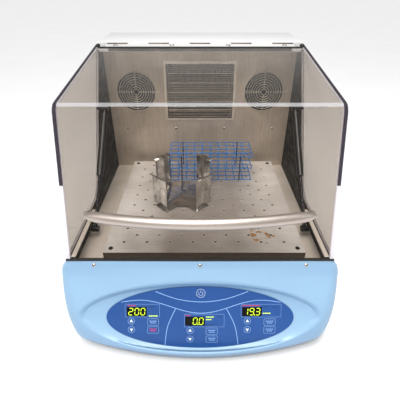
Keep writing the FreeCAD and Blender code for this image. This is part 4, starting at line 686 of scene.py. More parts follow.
case_screws = bmesh.new()
BAND_TILT = math.atan2(RIM_Z - CREASE_Z, BEZEL_LEVELS[0][2] - BEZEL_LEVELS[1][2])
BAND_SCREWS, BAND_SCREW_Z = (-231, 0, 231), 215
WALL_SCREWS, WALL_SCREW_Y, WALL_SCREW_Z = (-236, -79, 79, 236), 230, 322.6
BAND_SCREW_RADIUS, BAND_SCREW_TALL = 4.6, 2.6
WALL_SCREW_RADIUS, WALL_SCREW_TALL = 4.2, 2.4
for x in BAND_SCREWS:
    seat = bezel_point(bezel_length(x, BAND_SCREW_Z), BAND_SCREW_Z)
    screw_head(case_screws, seat * MM, (0, -math.sin(BAND_TILT), math.cos(BAND_TILT)),
               BAND_SCREW_RADIUS * MM, BAND_SCREW_TALL * MM, spin=0.4 + x)
for x in WALL_SCREWS:
    screw_head(case_screws, Vector((x, WALL_SCREW_Y, WALL_SCREW_Z)) * MM, (0, -1, 0),
               WALL_SCREW_RADIUS * MM, WALL_SCREW_TALL * MM, spin=x)
finish_piece(join_up(case_screws, "case_screw_heads"), "cabinet", "screw_steel", screw_steel,
             painted_recess_shade, replaces=("case_screws",), smooth=40)


# The control panel is a royal blue membrane over an aluminium plate. Its keys are domes in
# the film, whose fine texture softens every reflection. Lines are printed on it, and the
# figures glow in seven-segment lamps behind smoked windows.

film_blue = new_material("polyester_film_royal_blue", "#164A8C", roughness=0.34, ior=1.57)
vary(film_blue, 90.9, tones=("#144484", "#1C5095"))
vary(film_blue, 0.4, relief=(0.06, 0.03))
KEYS = [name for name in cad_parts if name.startswith("key_")]
paint_node(film_blue, "control_panel", *KEYS)

window = new_material("smoked_window", "#060706", roughness=0.12, ior=1.5)
vary(window, 11.11, 3.0, gloss=(0.08, 0.25))
paint_node(window, "displays")
# The board behind the panel is green epoxy and glass, with the weave just showing.
board_green = new_material("epoxy_glass_board", "#1F5A3A", roughness=0.4)
vary(board_green, 3.333, tones=("#174A2E", "#27694A"))
paint_node(board_green, "control_board")

# Heights of the film, the keys and the windows over the panel's plane.
FILM_TOP, KEY_TOP, WINDOW_TOP = 1.5, 1.9, 1.2
panel_place = Matrix.Translation(PANEL * MM) @ panel_turn @ Matrix.Scale(MM, 4)


def ink(name, color, glow=0.0):
    """Screen ink, or a lamp's light in the same shape: flat, and nearly even all over."""
    material = new_material(name, color, roughness=0.5)
    tree, shader, place = parts_of(material)
    dots = add(tree, "ShaderNodeTexNoise", {"Vector": place, "Scale": 1 / (2.5 * MM)})
    tone = add(tree, "ShaderNodeMapRange", {"Value": dots.outputs["Fac"], "To Min": 0.9,
                                            "To Max": 1.0})
    shade = add(tree, "ShaderNodeMix", {0: tone.outputs["Result"], 6: linear("#101010"),
                                        7: linear(color)}, data_type="RGBA")
    tree.links.new(shade.outputs[2], shader.inputs["Base Color"])
    if glow:
        shader.inputs["Emission Color"].default_value = linear(color)
        shader.inputs["Emission Strength"].default_value = glow
    return material


ink_light = ink("screen_ink_light_blue", "#8DB4E8")
ink_white = ink("screen_ink_white", "#D8E6F6")
ink_red = ink("screen_ink_red", "#D0305A")
ink_dark = ink("screen_ink_dark", "#16264F")
lamp_green = ink("lamp_yellow_green", "#CCEB30", glow=0.85)


def smooth_stroke(points):
    """A line that runs smoothly past its points."""
    return ("NURBS", points, False)


def straight_stroke(points, closed=True):
    """Straight lines from point to point."""
    return ("POLY", points, closed)


def ring_stroke(x, v, radius, steps=32):
    """A circle round a middle."""
    return ("POLY", [(x + radius * math.cos(math.tau * i / steps),
                      v + radius * math.sin(math.tau * i / steps)) for i in range(steps)], True)


def rounded_stroke(x, v, wide, tall, corner=2.5, steps=4):
    """A rectangle round a middle, with rounded corners."""
    points = []
    for index, (sx, sv) in enumerate(((1, 1), (-1, 1), (-1, -1), (1, -1))):
        for step in range(steps + 1):
            angle = (index + step / steps) * math.pi / 2
            points.append((x + sx * (wide / 2 - corner) + corner * math.cos(angle),
                           v + sv * (tall / 2 - corner) + corner * math.sin(angle)))
    return ("POLY", points, True)


def line_work(name, strokes, width, height, body, slot, material):
    """Lines drawn as curves on the panel, each a thin flattened bead of ink."""
    curve = bpy.data.curves.new(name, "CURVE")
    curve.dimensions = "3D"
    curve.bevel_depth = width / 2
    curve.bevel_resolution = 1
    curve.resolution_u = 8
    for kind, points, closed in strokes:
        spline = curve.splines.new(kind)
        spline.points.add(len(points) - 1)
        for point, (x, v) in zip(spline.points, points):
            point.co = (x, v, 0, 1)
        spline.use_cyclic_u = closed
        if kind == "NURBS":
            spline.order_u = 3
            spline.use_endpoint_u = not closed
    holder = bpy.data.objects.new(name + "_path", curve)
    bpy.context.scene.collection.objects.link(holder)
    bpy.context.view_layer.update()
    mesh = bpy.data.meshes.new_from_object(
        holder.evaluated_get(bpy.context.evaluated_depsgraph_get()))
    bpy.data.objects.remove(holder)
    mesh.name = name
    mesh.transform(Matrix.Translation((0, 0, height)) @ Matrix.Diagonal((1, 1, 0.25, 1)))
    mesh.transform(panel_place)
    piece = bpy.data.objects.new(name, mesh)
    bpy.context.scene.collection.objects.link(piece)
    mesh.materials.clear()
    return finish_piece(piece, body, slot, material, smooth=60)


DASH_PITCH, DASH_GAP = 4.2, 0.9


def bar_work(name, bars, height, body, slot, material, lift=0.12):
    """Rows of small dashes given as middle, width and height, each a legend's place."""
    bm = bmesh.new()
    for x, v, wide, tall in bars:
        dashes = max(1, round(wide / DASH_PITCH))
        for dash in range(dashes):
            middle = x + ((dash + 0.5) / dashes - 0.5) * wide
            block(bm, (wide / dashes - (DASH_GAP if dashes > 1 else 0), tall, lift),
                  (middle, v, height + lift / 2))
    bmesh.ops.transform(bm, matrix=panel_place, verts=bm.verts)
    return finish_piece(join_up(bm, name), body, slot, material)


THIN_LINE, RING_LINE, SWEEP_LINE = 0.7, 0.8, 1.5
line_work("panel_frames",
          [straight_stroke([(x0, v1), (x1, v1), (x1, v0), (x0, v0)])
           for x0, v0, x1, v1 in ((-167.4, 0.9, -90.7, 30.3), (-34.8, -22.5, 54.2, 7.3),
                                  (92.3, 0.7, 181.5, 30.3))],
          THIN_LINE, FILM_TOP, "cabinet", "panel_film", ink_light)
line_work("panel_sweeps",
          [smooth_stroke([(-99, 60), (-64, 45), (-31, 38), (3, 35), (37, 38), (70, 45),
                          (107, 60)]),
           smooth_stroke([(-176, 35), (-140, 42), (-98, 36), (-58, 22), (-28, 12.5), (2, 8.5),
                          (32, 12.5), (62, 22), (98, 35), (140, 42), (180, 35)]),
           smooth_stroke([(-53.7, 21.7), (-70, -10), (-77, -38), (-79.2, -65)]),
           smooth_stroke([(58.2, 21.7), (76, -10), (83, -38), (86, -64)])],
          SWEEP_LINE, FILM_TOP, "cabinet", "panel_film", ink_light)

DIGITS = {"0": "abcdef", "1": "bc", "2": "abged", "3": "abgcd", "9": "abcdfg"}
DIGIT_WIDE, DIGIT_TALL, BAR = 8.6, 15.4, 1.55
SLANT = 0.1
DIGIT_GAP, DIGIT_INSET, BAR_GAP, DOT_RADIUS, DOT_SHIFT = 4.9, 1.2, 0.5, 1.3, 1.6


def digit_bars(bm, character, x, v):
    """One seven-segment figure, each bar with pointed ends, leaned as such lamps are."""
    half_w, half_t = DIGIT_WIDE / 2, DIGIT_TALL / 2
    places = {"a": (0, half_t, 0), "d": (0, -half_t, 0), "g": (0, 0, 0),
              "b": (half_w, half_t / 2, 1), "c": (half_w, -half_t / 2, 1),
              "f": (-half_w, half_t / 2, 1), "e": (-half_w, -half_t / 2, 1)}
    for bar in DIGITS[character]:
        bar_x, bar_v, upright = places[bar]
        long = (half_t if upright else DIGIT_WIDE) - BAR_GAP
        made = bmesh.ops.create_circle(bm, segments=6, radius=1.0, cap_ends=True)
        for vert in made["verts"]:
            along, across = vert.co.x, vert.co.y
            reach = math.copysign(long / 2 - (BAR / 2 if abs(across) > 0.1 else 0), along)
            reach = reach if abs(along) > 0.1 else 0
            side = 0 if abs(across) < 0.1 else math.copysign(BAR / 2, across)
            spot = (side, reach) if upright else (reach, side)
            up = bar_v + spot[1]
            vert.co = (x + bar_x + spot[0] + SLANT * up, v + up, 0)


figures = bmesh.new()
for text, right, v in (("200", -122.6, 13.1), ("0.0", 8.2, -9.3), ("19.3", 135.2, 13.1)):
    x = right - DIGIT_WIDE / 2 - DIGIT_INSET
    for character in reversed(text):
        if character == ".":
            dot = bmesh.ops.create_circle(figures, segments=12, radius=DOT_RADIUS,
                                          cap_ends=True)
            bmesh.ops.translate(figures, verts=dot["verts"],
                                vec=(x + DIGIT_WIDE / 2 + DOT_SHIFT, v - DIGIT_TALL / 2, 0))
        else:
            digit_bars(figures, character, x, v)
            x -= DIGIT_WIDE + DIGIT_GAP
bmesh.ops.translate(figures, vec=(0, 0, WINDOW_TOP + 0.1), verts=figures.verts)
bmesh.ops.transform(figures, matrix=panel_place, verts=figures.verts)
finish_piece(join_up(figures, "display_figures"), "cabinet", "display_window", lamp_green)

bar_work("lamp_bars", [(-105, 3.2, 20, 2.0), (22, 0.6, 18, 2.0), (19.5, -5.4, 13, 2.0),
                       (149, 9.4, 18, 2.0)],
         FILM_TOP, "cabinet", "display_window", lamp_green)
bar_work("legend_bars_red", [(-152.5, 27.1, 19, 2.2), (-27.5, 4.2, 12, 2.0), (114, 27.3, 40, 2.2)],
         FILM_TOP, "cabinet", "panel_film", ink_red)
bar_work("legend_bars_dark", [(-108, 24, 13, 1.8), (44, 0.6, 10, 1.8), (147, 24, 11, 1.6),
                              (168, 24, 11, 1.6), (22, -17, 20, 1.4)],
         FILM_TOP, "cabinet", "panel_film", ink_dark)

KEY_PLACES = {"key_power": (1.8, 56)}
ARROW_PITCH, PAD_PITCH = 19.8, 18.6
POWER_RING, POWER_ARC, ARROW_RING, ARROW_SIZE = 9.6, 5.0, 7.4, 4.8
PAD_WIDE, PAD_TALL = 25.4, 15.4
for group, arrow_x, pad_x, arrow_v, pad_v in (("left", -154.3, -105.7, -8.8, -10.9),
                                              ("center", -22.5, 26.4, -31, -32.6),
                                              ("right", 106.4, 156.3, -8.8, -10.9)):
    KEY_PLACES[f"key_{group}_up"] = (arrow_x, arrow_v)
    KEY_PLACES[f"key_{group}_down"] = (arrow_x, arrow_v - ARROW_PITCH)
    KEY_PLACES[f"key_{group}_upper"] = (pad_x, pad_v)
    KEY_PLACES[f"key_{group}_lower"] = (pad_x, pad_v - PAD_PITCH)

for key, (x, v) in KEY_PLACES.items():
    body = key + "_body"
    if key == "key_power":
        arc = [(x + POWER_ARC * math.sin(math.radians(turn)),
                v + POWER_ARC * math.cos(math.radians(turn))) for turn in range(45, 316, 10)]
        line_work("mark_power",
                  [ring_stroke(x, v, POWER_RING), straight_stroke(arc, closed=False)],
                  THIN_LINE, KEY_TOP, body, "key_film", ink_white)
        bar_work("mark_power_bar", [(x, v + 3.6, 0.9, 5.0)], KEY_TOP, body, "key_film", ink_white)
    elif key.endswith(("up", "down")):
        line_work(key.replace("key", "ring"), [ring_stroke(x, v, ARROW_RING)], RING_LINE,
                  KEY_TOP, body, "key_film", ink_light)
        arrow = bmesh.new()
        tip = 1 if key.endswith("up") else -1
        bmesh.ops.create_circle(arrow, segments=3, radius=ARROW_SIZE, cap_ends=True)
        bmesh.ops.rotate(arrow, cent=(0, 0, 0), verts=arrow.verts,
                         matrix=Matrix.Rotation(0 if tip > 0 else math.pi, 3, "Z"))
        bmesh.ops.translate(arrow, vec=(x, v, KEY_TOP + 0.08), verts=arrow.verts)
        bmesh.ops.transform(arrow, matrix=panel_place, verts=arrow.verts)
        finish_piece(join_up(arrow, key.replace("key", "arrow")), body, "key_film", ink_white)
    else:
        line_work(key.replace("key", "frame"), [rounded_stroke(x, v, PAD_WIDE, PAD_TALL)],
                  THIN_LINE, KEY_TOP, body, "key_film", ink_light)
        word = ink_red if key == "key_left_lower" else ink_light
        bar_work(key.replace("key", "legend"), [(x, v + 2.1, 17, 1.9), (x, v - 2.1, 13, 1.9)],
                 KEY_TOP, body, "key_film", word)


# The hood is clear acrylic sheet, bent hot over a former and solvent welded at its sides.
# Sheet that is seen flat is nearly invisible. Its polished edges are painted dark above and pale
# below, and a band of its bend carries a painted highlight.

def clear_acrylic(name, tint, sheen):
    """Clear sheet: straight through where it faces the eye, and a mirror where it slants."""
    material = new_material(name, tint, roughness=0.04, ior=1.49)
    tree, shader, place = parts_of(material)
    ripple = add(tree, "ShaderNodeTexNoise", {"Vector": place, "Scale": 1 / (142.9 * MM),
                                              "Detail": 1.0})
    bump = add(tree, "ShaderNodeBump", {"Height": ripple.outputs["Fac"], "Strength": 0.25,
                                        "Distance": 2 * MM})
    tree.links.new(bump.outputs["Normal"], shader.inputs["Normal"])
    through = add(tree, "ShaderNodeBsdfTransparent", {"Color": linear(tint)})
    slant = add(tree, "ShaderNodeLayerWeight", {"Blend": 0.3, "Normal": bump.outputs["Normal"]})
    curve = add(tree, "ShaderNodeMath", {0: slant.outputs["Facing"], 1: 4.0}, operation="POWER")
    share = add(tree, "ShaderNodeMapRange", {"Value": curve.outputs[0], "To Min": sheen,
                                             "To Max": max(sheen, 0.6)})
    mixed = add(tree, "ShaderNodeMixShader", {0: share.outputs["Result"],
                                              1: through.outputs["BSDF"],
                                              2: shader.outputs["BSDF"]})
    tree.links.new(mixed.outputs["Shader"], tree.nodes["Material Output"].inputs["Surface"])
    return material


hood = rounded_copy("lid_shell", 0.8)
EDGE_X = 281.5
# The band of the hot bend between the hood's front and its top that carries a painted
# highlight, from y to y.
BEND_FRONT, BEND_TOP = -187, -178.5
# Above this height the welded edges carry painted shade, and below it a painted highlight.
PAINTED_EDGE_Z = 381
for spot, normal in (((-EDGE_X, 0, 0), (1, 0, 0)), ((EDGE_X, 0, 0), (1, 0, 0)),
                     ((0, 0, PAINTED_EDGE_Z), (0, 0, 1))):
    bmesh.ops.bisect_plane(hood, geom=hood.verts[:] + hood.edges[:] + hood.faces[:],
                           dist=0.001 * MM, plane_co=Vector(spot) * MM, plane_no=normal)
# Finishes by number: 0 clear, 1 edge in painted shade, 2 hot bend with a painted highlight,
# 3 polished edge with a painted highlight, 4 end wall.
for face in hood.faces:
    middle = face.calc_center_median()
    if abs(face.normal.x) > 0.9:
        face.material_index = 4
    elif abs(middle.x) > (EDGE_X - 0.1) * MM:
        painted_pale = middle.z < PAINTED_EDGE_Z * MM or face.normal.z < -0.3 or face.normal.y > 0.5
        face.material_index = 3 if painted_pale else 1
    elif BEND_FRONT < middle.y / MM < BEND_TOP and face.normal.z > 0.4:
        face.material_index = 2
acrylic = clear_acrylic("acrylic_sheet_clear", "#F2EFEC", 0.007)
# The upper welded edges are painted dark and the lower ones pale: painted shade and highlight.
acrylic_edge_shade = clear_acrylic("acrylic_edge_painted_shade", "#4A4550", 0.3)
# The bend's band is a painted highlight.
acrylic_bend_highlight = clear_acrylic("acrylic_bend_painted_highlight", "#F0F0F2", 0.27)
acrylic_edge_highlight = clear_acrylic("acrylic_edge_painted_highlight", "#E9E5EC", 0.8)
acrylic_side = clear_acrylic("acrylic_end_wall", "#E4E1DE", 0.02)
finish_piece(join_up(hood, "hood_shell"), "lid", "lid_acrylic", acrylic, acrylic_edge_shade,
             acrylic_bend_highlight, acrylic_edge_highlight, acrylic_side, replaces=("lid_shell",), smooth=35)


# Each end wall of the hood stands on a narrow foot strip of the same sheet, glued on. Its
# sawn edges scatter the light, so it looks nearly white.

STRIP_SIZE, STRIP_X, STRIP_Y, STRIP_Z = (10, 180, 3), 275.5, -199, 230.2
foot_strips = bmesh.new()
for sign in (-1, 1):
    block(foot_strips, Vector(STRIP_SIZE) * MM,
          Vector((sign * STRIP_X, STRIP_Y, STRIP_Z)) * MM)
bmesh.ops.bevel(foot_strips, geom=foot_strips.edges[:], offset=0.6 * MM, offset_type="OFFSET",
                affect="EDGES", segments=2, profile=0.5, material=-1)
sawn = powder_coat("acrylic_sawn_edge", "#D9D3CB", grain=0.3, roughness=0.3)
finish_piece(join_up(foot_strips, "hood_foot_strips"), "lid", "lid_acrylic", sawn, smooth=35)


# A piano hinge of rolled stainless steel joins hood and cabinet, and its knuckles are painted
# dark brown as their own shade. Its lid leaf is a strip in white enamel, held by screws with
# washers.

strip_white = powder_coat("enamel_white_strip", "#C9C7C4", roughness=0.35)
# The hinge steel's dark brown is painted shade.
hinge_steel = brushed_steel("stainless_hinge_painted_shade", "#6A5F56", "#2F2925", roughness=0.4)
stand_in("hinge_lid_leaf", 0.3, "hinge_strip", "lid", "strip_white", strip_white)
stand_in("hinge_cabinet_leaf", 0.2, "hinge_knuckles", "cabinet", "hinge_steel", hinge_steel)


# A bead of black rubber sealant closes the joint in front of the hinge strip. It was run by
# hand, so it swells to a blob at each end.

# The hood's outline from the side, as y and z: the crest where its front and top meet, the
# lower end of its front and the rear end of its top.
CREST_Y, CREST_Z = -190, 532
FRONT_FOOT_Y, FRONT_FOOT_Z = -294, 228.3
TOP_REAR_Y, TOP_REAR_Z = 183, 583
LID_TILT = math.atan2(TOP_REAR_Z - CREST_Z, TOP_REAR_Y - CREST_Y)
FRONT_SLOPE = math.atan2(CREST_Z - FRONT_FOOT_Z, CREST_Y - FRONT_FOOT_Y)


def top_spot(x, y):
    """A point on the hood's top."""
    return Vector((x, y, CREST_Z + (y - CREST_Y) * math.tan(LID_TILT)))


def front_spot(x, z):
    """A point on the hood's sloping front."""
    return Vector((x, CREST_Y + (z - CREST_Z) / math.tan(FRONT_SLOPE), z))


BEAD_Y, BEAD_LIFT, BEAD_HALF, BEAD_RADIUS = 155.5, 1.4, 276, 2.6
BLOB_SIZE, BLOB_X, BLOB_Y, BLOB_Z = (6, 12, 4.5), 279, 14, 3
bead = bmesh.new()
bead_spot = top_spot(0, BEAD_Y) + Vector((0, 0, BEAD_LIFT))
rod(bead, (bead_spot - Vector((BEAD_HALF, 0, 0))) * MM,
    (bead_spot + Vector((BEAD_HALF, 0, 0))) * MM, BEAD_RADIUS * MM, sides=12)
for sign in (-1, 1):
    end = bmesh.ops.create_uvsphere(bead, u_segments=20, v_segments=12, radius=1.0)["verts"]
    bmesh.ops.scale(bead, vec=Vector(BLOB_SIZE) * MM, verts=end)
    bmesh.ops.translate(bead, vec=(bead_spot + Vector((sign * BLOB_X, BLOB_Y, BLOB_Z))) * MM,
                        verts=end)
finish_piece(join_up(bead, "hinge_sealing_bead"), "lid", "seal_rubber", seal_rubber, smooth=40)


# Four screws with washers hold the hinge strip to the hood's top. Two more come through its
# front from inside, and hold the handle.

STRIP_SCREWS, STRIP_SCREW_Y, STRIP_TOP = (-231, -77, 77, 231), TOP_REAR_Y - 12.5, 2.5
WASHER_LOW, WASHER_HIGH, WASHER_THICK = 6.6, 6.2, 0.8
HANDLE_SCREW_X, HANDLE_Z, HOOD_SHEET = 240, 325, 5
LID_SCREW_RADIUS, LID_SCREW_TALL = 4.4, 2.4
lid_screws = bmesh.new()
up = Vector((0, -math.sin(LID_TILT), math.cos(LID_TILT)))
for x in STRIP_SCREWS:
    seat = top_spot(x, STRIP_SCREW_Y) + up * STRIP_TOP
    bmesh.ops.create_cone(lid_screws, segments=24, radius1=WASHER_LOW * MM,
                          radius2=WASHER_HIGH * MM, depth=WASHER_THICK * MM, cap_ends=True,
                          matrix=Matrix.Translation((seat + up * WASHER_THICK / 2) * MM)
                          @ up.to_track_quat("Z", "Y").to_matrix().to_4x4())
    screw_head(lid_screws, (seat + up * WASHER_THICK) * MM, up, LID_SCREW_RADIUS * MM,
               LID_SCREW_TALL * MM, spin=x)
inward = Vector((0, math.sin(FRONT_SLOPE), -math.cos(FRONT_SLOPE)))
for x in (-HANDLE_SCREW_X, HANDLE_SCREW_X):
    screw_head(lid_screws, (front_spot(x, HANDLE_Z) + inward * HOOD_SHEET) * MM, inward,
               LID_SCREW_RADIUS * MM, LID_SCREW_TALL * MM, spin=x)
finish_piece(join_up(lid_screws, "lid_screw_heads"), "lid", "screw_steel", screw_steel,
             painted_recess_shade, replaces=("lid_screws",), smooth=40)


# The handle is a bowed bar of aluminium, drawn to slim tips and screwed to the hood's front.
# Bead blasting leaves it a soft sheen, with no sharp reflections.

HANDLE_HALF, HANDLE_BOW, HANDLE_RADIUS, STANDOFF = 240, 42, 12.0, 12.5
# The bow dips by this many degrees out of the square to the hood's front.
HANDLE_DIP = 8
# The share of each half that slims, and how slim its end is.
TIP_SHARE, TIP_SLIM = 0.2, 0.12
PILLAR_X, PILLAR_RADIUS = 232, 8
HANDLE_STEPS, HANDLE_SIDES = 64, 24
handle_arc = (HANDLE_HALF ** 2 + HANDLE_BOW ** 2) / (2 * HANDLE_BOW)
handle_sweep = 2 * math.asin(HANDLE_HALF / handle_arc)
outward = -inward
foot = front_spot(0, HANDLE_Z)
bow_way = Matrix.Rotation(math.radians(HANDLE_DIP), 3, "X") @ outward
center = foot + outward * STANDOFF + bow_way * (HANDLE_BOW - handle_arc)
handle = bmesh.new()
bmesh.ops.create_circle(handle, segments=HANDLE_SIDES, radius=HANDLE_RADIUS * MM)
in_plane = Matrix((bow_way, Vector((1, 0, 0)).cross(bow_way), Vector((1, 0, 0)))).transposed()
bmesh.ops.transform(handle, matrix=Matrix.Translation((center + bow_way * handle_arc) * MM)
                    @ in_plane.to_4x4(), verts=handle.verts)
axis = bow_way.cross(Vector((1, 0, 0)))
bmesh.ops.rotate(handle, cent=center * MM, verts=handle.verts,
                 matrix=Matrix.Rotation(-handle_sweep / 2, 3, axis))
bmesh.ops.spin(handle, geom=handle.verts[:] + handle.edges[:], cent=center * MM, axis=axis,
               angle=handle_sweep, steps=HANDLE_STEPS)
bmesh.ops.holes_fill(handle, edges=handle.edges)
for vert in handle.verts:
    arm = vert.co - center * MM
    along = math.atan2(arm.x, arm.dot(bow_way))
    middle = center * MM + (bow_way * math.cos(along) + Vector((math.sin(along), 0, 0))) \
        * handle_arc * MM
    share = min(1, (1 - abs(along) / (handle_sweep / 2)) / TIP_SHARE)
    slim = TIP_SLIM + (1 - TIP_SLIM) * math.sqrt(max(0, 1 - (1 - share) ** 2))
    vert.co = middle + (vert.co - middle) * slim
for x in (-PILLAR_X, PILLAR_X):
    drop = handle_arc - math.sqrt(handle_arc ** 2 - x ** 2)
    top = foot + outward * STANDOFF + bow_way * (HANDLE_BOW - drop) + Vector((x, 0, 0))
    rod(handle, (foot + Vector((x, 0, 0))) * MM, top * MM, PILLAR_RADIUS * MM, sides=20)
bmesh.ops.recalc_face_normals(handle, faces=handle.faces)
satin = new_material("aluminium_bead_blasted", "#C0B4AB", metallic=0.8, roughness=0.4)
vary(satin, 0.5556, relief=(0.12, 0.05))
vary(satin, 33.33, 3.0, gloss=(0.33, 0.46))
finish_piece(join_up(handle, "handle_bar"), "lid", "handle_satin", satin, replaces=("handle",),
             smooth=45)


# Gas struts hold the hood up: a black lacquered cylinder, and a ground rod with a black
# nitride skin, which keeps a soft metal shine. Each turns on blackened studs.

strut_black = powder_coat("strut_black_lacquer", "#161617", roughness=0.3)
paint_node(strut_black, "strut_cylinder_left", "strut_cylinder_right")
rod_nitride = new_material("steel_black_nitride", "#2B2B2E", metallic=0.9, roughness=0.25)
vary(rod_nitride, 12.5, 3.0, gloss=(0.2, 0.34))
paint_node(rod_nitride, "strut_rod_left", "strut_rod_right")
stud_steel = brushed_steel("blackened_stud_steel", "#4A4A4C", "#303032", roughness=0.35)
paint_node(stud_steel, "strut_lower_studs", "strut_upper_studs")


# The drive under the chamber's floor is machined aluminium and turned steel, with a ribbed
# belt and an enamelled motor. The case hides nearly all of it.

drive_aluminium = brushed_steel("aluminium_machined", "#C2C4C6", "#9DA0A3", roughness=0.35)
crank_steel = brushed_steel("steel_turned", "#A8AAAC", "#7D8083", streak_axis=2, roughness=0.25)
paint_node(drive_aluminium, "drive_plate", "bearing_housings", "drive_pulley", "motor_pulley",
           "carrier_frame")
paint_node(crank_steel, "main_crank", "idler_crank_left", "idler_crank_right",
           "shaft_bearings")
paint_node(powder_coat("motor_black_enamel", "#2E3033", roughness=0.4), "drive_motor")
belt_rubber = new_material("ribbed_belt_rubber", "#1B1B1C", roughness=0.75)
tree, shader, place = parts_of(belt_rubber)
# A wave texture of scale 1 repeats 20 times in each 2 pi metres.
RIB_PITCH = 3.927
ribs = add(tree, "ShaderNodeTexWave",
           {"Vector": place, "Scale": math.tau / (20 * RIB_PITCH * MM)}, bands_direction="Z")
bump = add(tree, "ShaderNodeBump", {"Height": ribs.outputs["Fac"], "Strength": 0.6,
                                    "Distance": 0.5 * MM})
tree.links.new(bump.outputs["Normal"], shader.inputs["Normal"])
paint_node(belt_rubber, "drive_belt")


# The platform is a folded tray of stainless sheet: a satin face with fine streaks, greyed by
# painted shade down its middle, a patch of rust-brown drips near its right front corner, and a
# skirt painted dark as the shade of the chamber.

PLATFORM = Vector((9.5, -35.4, 220))
# The stain's middle, and how far from it the rust is densest and ends.
STAIN_SPOT, STAIN_DENSE, STAIN_END = Vector((148, -196, 0)), 20, 60
# How far from the platform's middle line its painted shade is full, and where it ends.
MIDDLE_SHADE_FULL, MIDDLE_SHADE_END = 80, 200
platform_steel = brushed_steel("stainless_platform_rust_and_shade", "#FFFFFF", "#CFCBC8", streak_axis=0,
                               roughness=0.32, smear=90, metallic=0.25)
tree, shader, place = parts_of(platform_steel)
base = shader.inputs["Base Color"].links[0].from_socket
drips = add(tree, "ShaderNodeTexNoise", {"Vector": place, "Scale": 1 / (14.29 * MM),
                                         "Detail": 5.0})
there = add(tree, "ShaderNodeMapping", {"Vector": place, "Location": -STAIN_SPOT * MM})
near = add(tree, "ShaderNodeVectorMath", {0: there.outputs["Vector"], 1: (1, 1, 0)},
           operation="MULTIPLY")
far = add(tree, "ShaderNodeVectorMath", {0: near.outputs["Vector"]}, operation="LENGTH")
patch = add(tree, "ShaderNodeMapRange", {"Value": far.outputs["Value"],
                                         "From Min": STAIN_DENSE * MM,
                                         "From Max": STAIN_END * MM, "To Min": 0.12,
                                         "To Max": -0.2})
spread = add(tree, "ShaderNodeMath", {0: drips.outputs["Fac"], 1: patch.outputs["Result"]},
             operation="ADD")
stain = add(tree, "ShaderNodeMapRange", {"Value": spread.outputs[0], "From Min": 0.62,
                                         "From Max": 0.7})
# Down the platform's middle the colour is darkened: painted shade.
across = add(tree, "ShaderNodeVectorMath", {0: place, 1: (-PLATFORM.x * MM, 0, 0)},
             operation="ADD")
aside = add(tree, "ShaderNodeMath",
            {0: add(tree, "ShaderNodeSeparateXYZ", {"Vector": across.outputs[0]}).outputs["X"]},
            operation="ABSOLUTE")
middle_shade = add(tree, "ShaderNodeMapRange", {"Value": aside.outputs[0],
                                          "From Min": MIDDLE_SHADE_END * MM,
                                          "From Max": MIDDLE_SHADE_FULL * MM, "To Max": 0.9})
middle_shaded = add(tree, "ShaderNodeMix", {0: middle_shade.outputs["Result"], 6: base, 7: linear("#ABA6A1")},
           data_type="RGBA", blend_type="MULTIPLY")
rusty = add(tree, "ShaderNodeMix", {0: stain.outputs["Result"], 6: middle_shaded.outputs[2],
                                    7: linear("#A8783E")}, data_type="RGBA")
# Faces that don't look up, the skirt, are mixed towards dark brown: painted shade.
facing = add(tree, "ShaderNodeSeparateXYZ",
             {"Vector": add(tree, "ShaderNodeNewGeometry").outputs["Normal"]})
painted_skirt_shade = add(tree, "ShaderNodeMix", {0: facing.outputs["Z"], 6: linear("#5E544A"),
                                    7: rusty.outputs[2]}, data_type="RGBA", clamp_factor=True)
tree.links.new(painted_skirt_shade.outputs[2], shader.inputs["Base Color"])
paint_node(platform_steel, "platform")


# Each of the platform's holes holds a threaded insert of steel. Its rolled rim is bright, and
# inside it lies a dark disc, painted shade down the hole.

PLATFORM_HALF, FIRST_HOLE = 228.6, 37
HOLE_X, HOLE_Y, HOLE_ROWS, HOLES_LONG, HOLES_SHORT = 53.5, 26, 16, 8, 7
RIM_RADIUS, RIM_WIRE, SHADE_DISC_RADIUS, SHADE_DISC_LIFT = 3.9, 0.5, 3.7, 0.1
inserts = bmesh.new()
for row in range(HOLE_ROWS):
    count = HOLES_LONG if row % 2 == 0 else HOLES_SHORT
    for column in range(count):
        spot = PLATFORM + Vector(((column - (count - 1) / 2) * HOLE_X,
                                  FIRST_HOLE - PLATFORM_HALF + row * HOLE_Y, 0))
        turned_wire(inserts, spot * MM, RIM_RADIUS * MM, RIM_WIRE * MM, (0, 0, 1), steps=14,
                    sides=6)
        # A near-black disc fills the hole: painted shade.
        before = set(inserts.faces)
        shade_disc = spot + Vector((0, 0, SHADE_DISC_LIFT))
        bmesh.ops.create_circle(inserts, segments=14, radius=SHADE_DISC_RADIUS * MM, cap_ends=True,
                                matrix=Matrix.Translation(shade_disc * MM))
        for face in set(inserts.faces) - before:
            face.material_index = 1
insert_rim = brushed_steel("steel_insert_rim", "#FFFBF4", "#D8D2C8", roughness=0.25,
                           metallic=0.5)
# The disc's near-black is painted shade.
hole_painted_shade = new_material("insert_hole_painted_shade", "#14110F", roughness=0.6)
vary(hole_painted_shade, 3.333, gloss=(0.4, 0.8))
finish_piece(join_up(inserts, "platform_inserts"), "table", "platform_stainless",
             insert_rim, hole_painted_shade, smooth=60)


# A larger screw of blackened steel holds the platform at each corner.

PLATFORM_SCREW, PLATFORM_SCREW_RADIUS, PLATFORM_SCREW_TALL = 213.6, 5.4, 2.9
platform_screws = bmesh.new()
for x in (-PLATFORM_SCREW, PLATFORM_SCREW):
    for y in (-PLATFORM_SCREW, PLATFORM_SCREW):
        screw_head(platform_screws, (PLATFORM + Vector((x, y, 0))) * MM, (0, 0, 1),
                   PLATFORM_SCREW_RADIUS * MM, PLATFORM_SCREW_TALL * MM, spin=x + y)
dark_screw = new_material("black_oxide_screw", "#2A2725", metallic=0.9, roughness=0.4)
finish_piece(join_up(platform_screws, "platform_screw_heads"), "table", "screw_steel", dark_screw,
             painted_recess_shade, replaces=("platform_screws",), smooth=40)


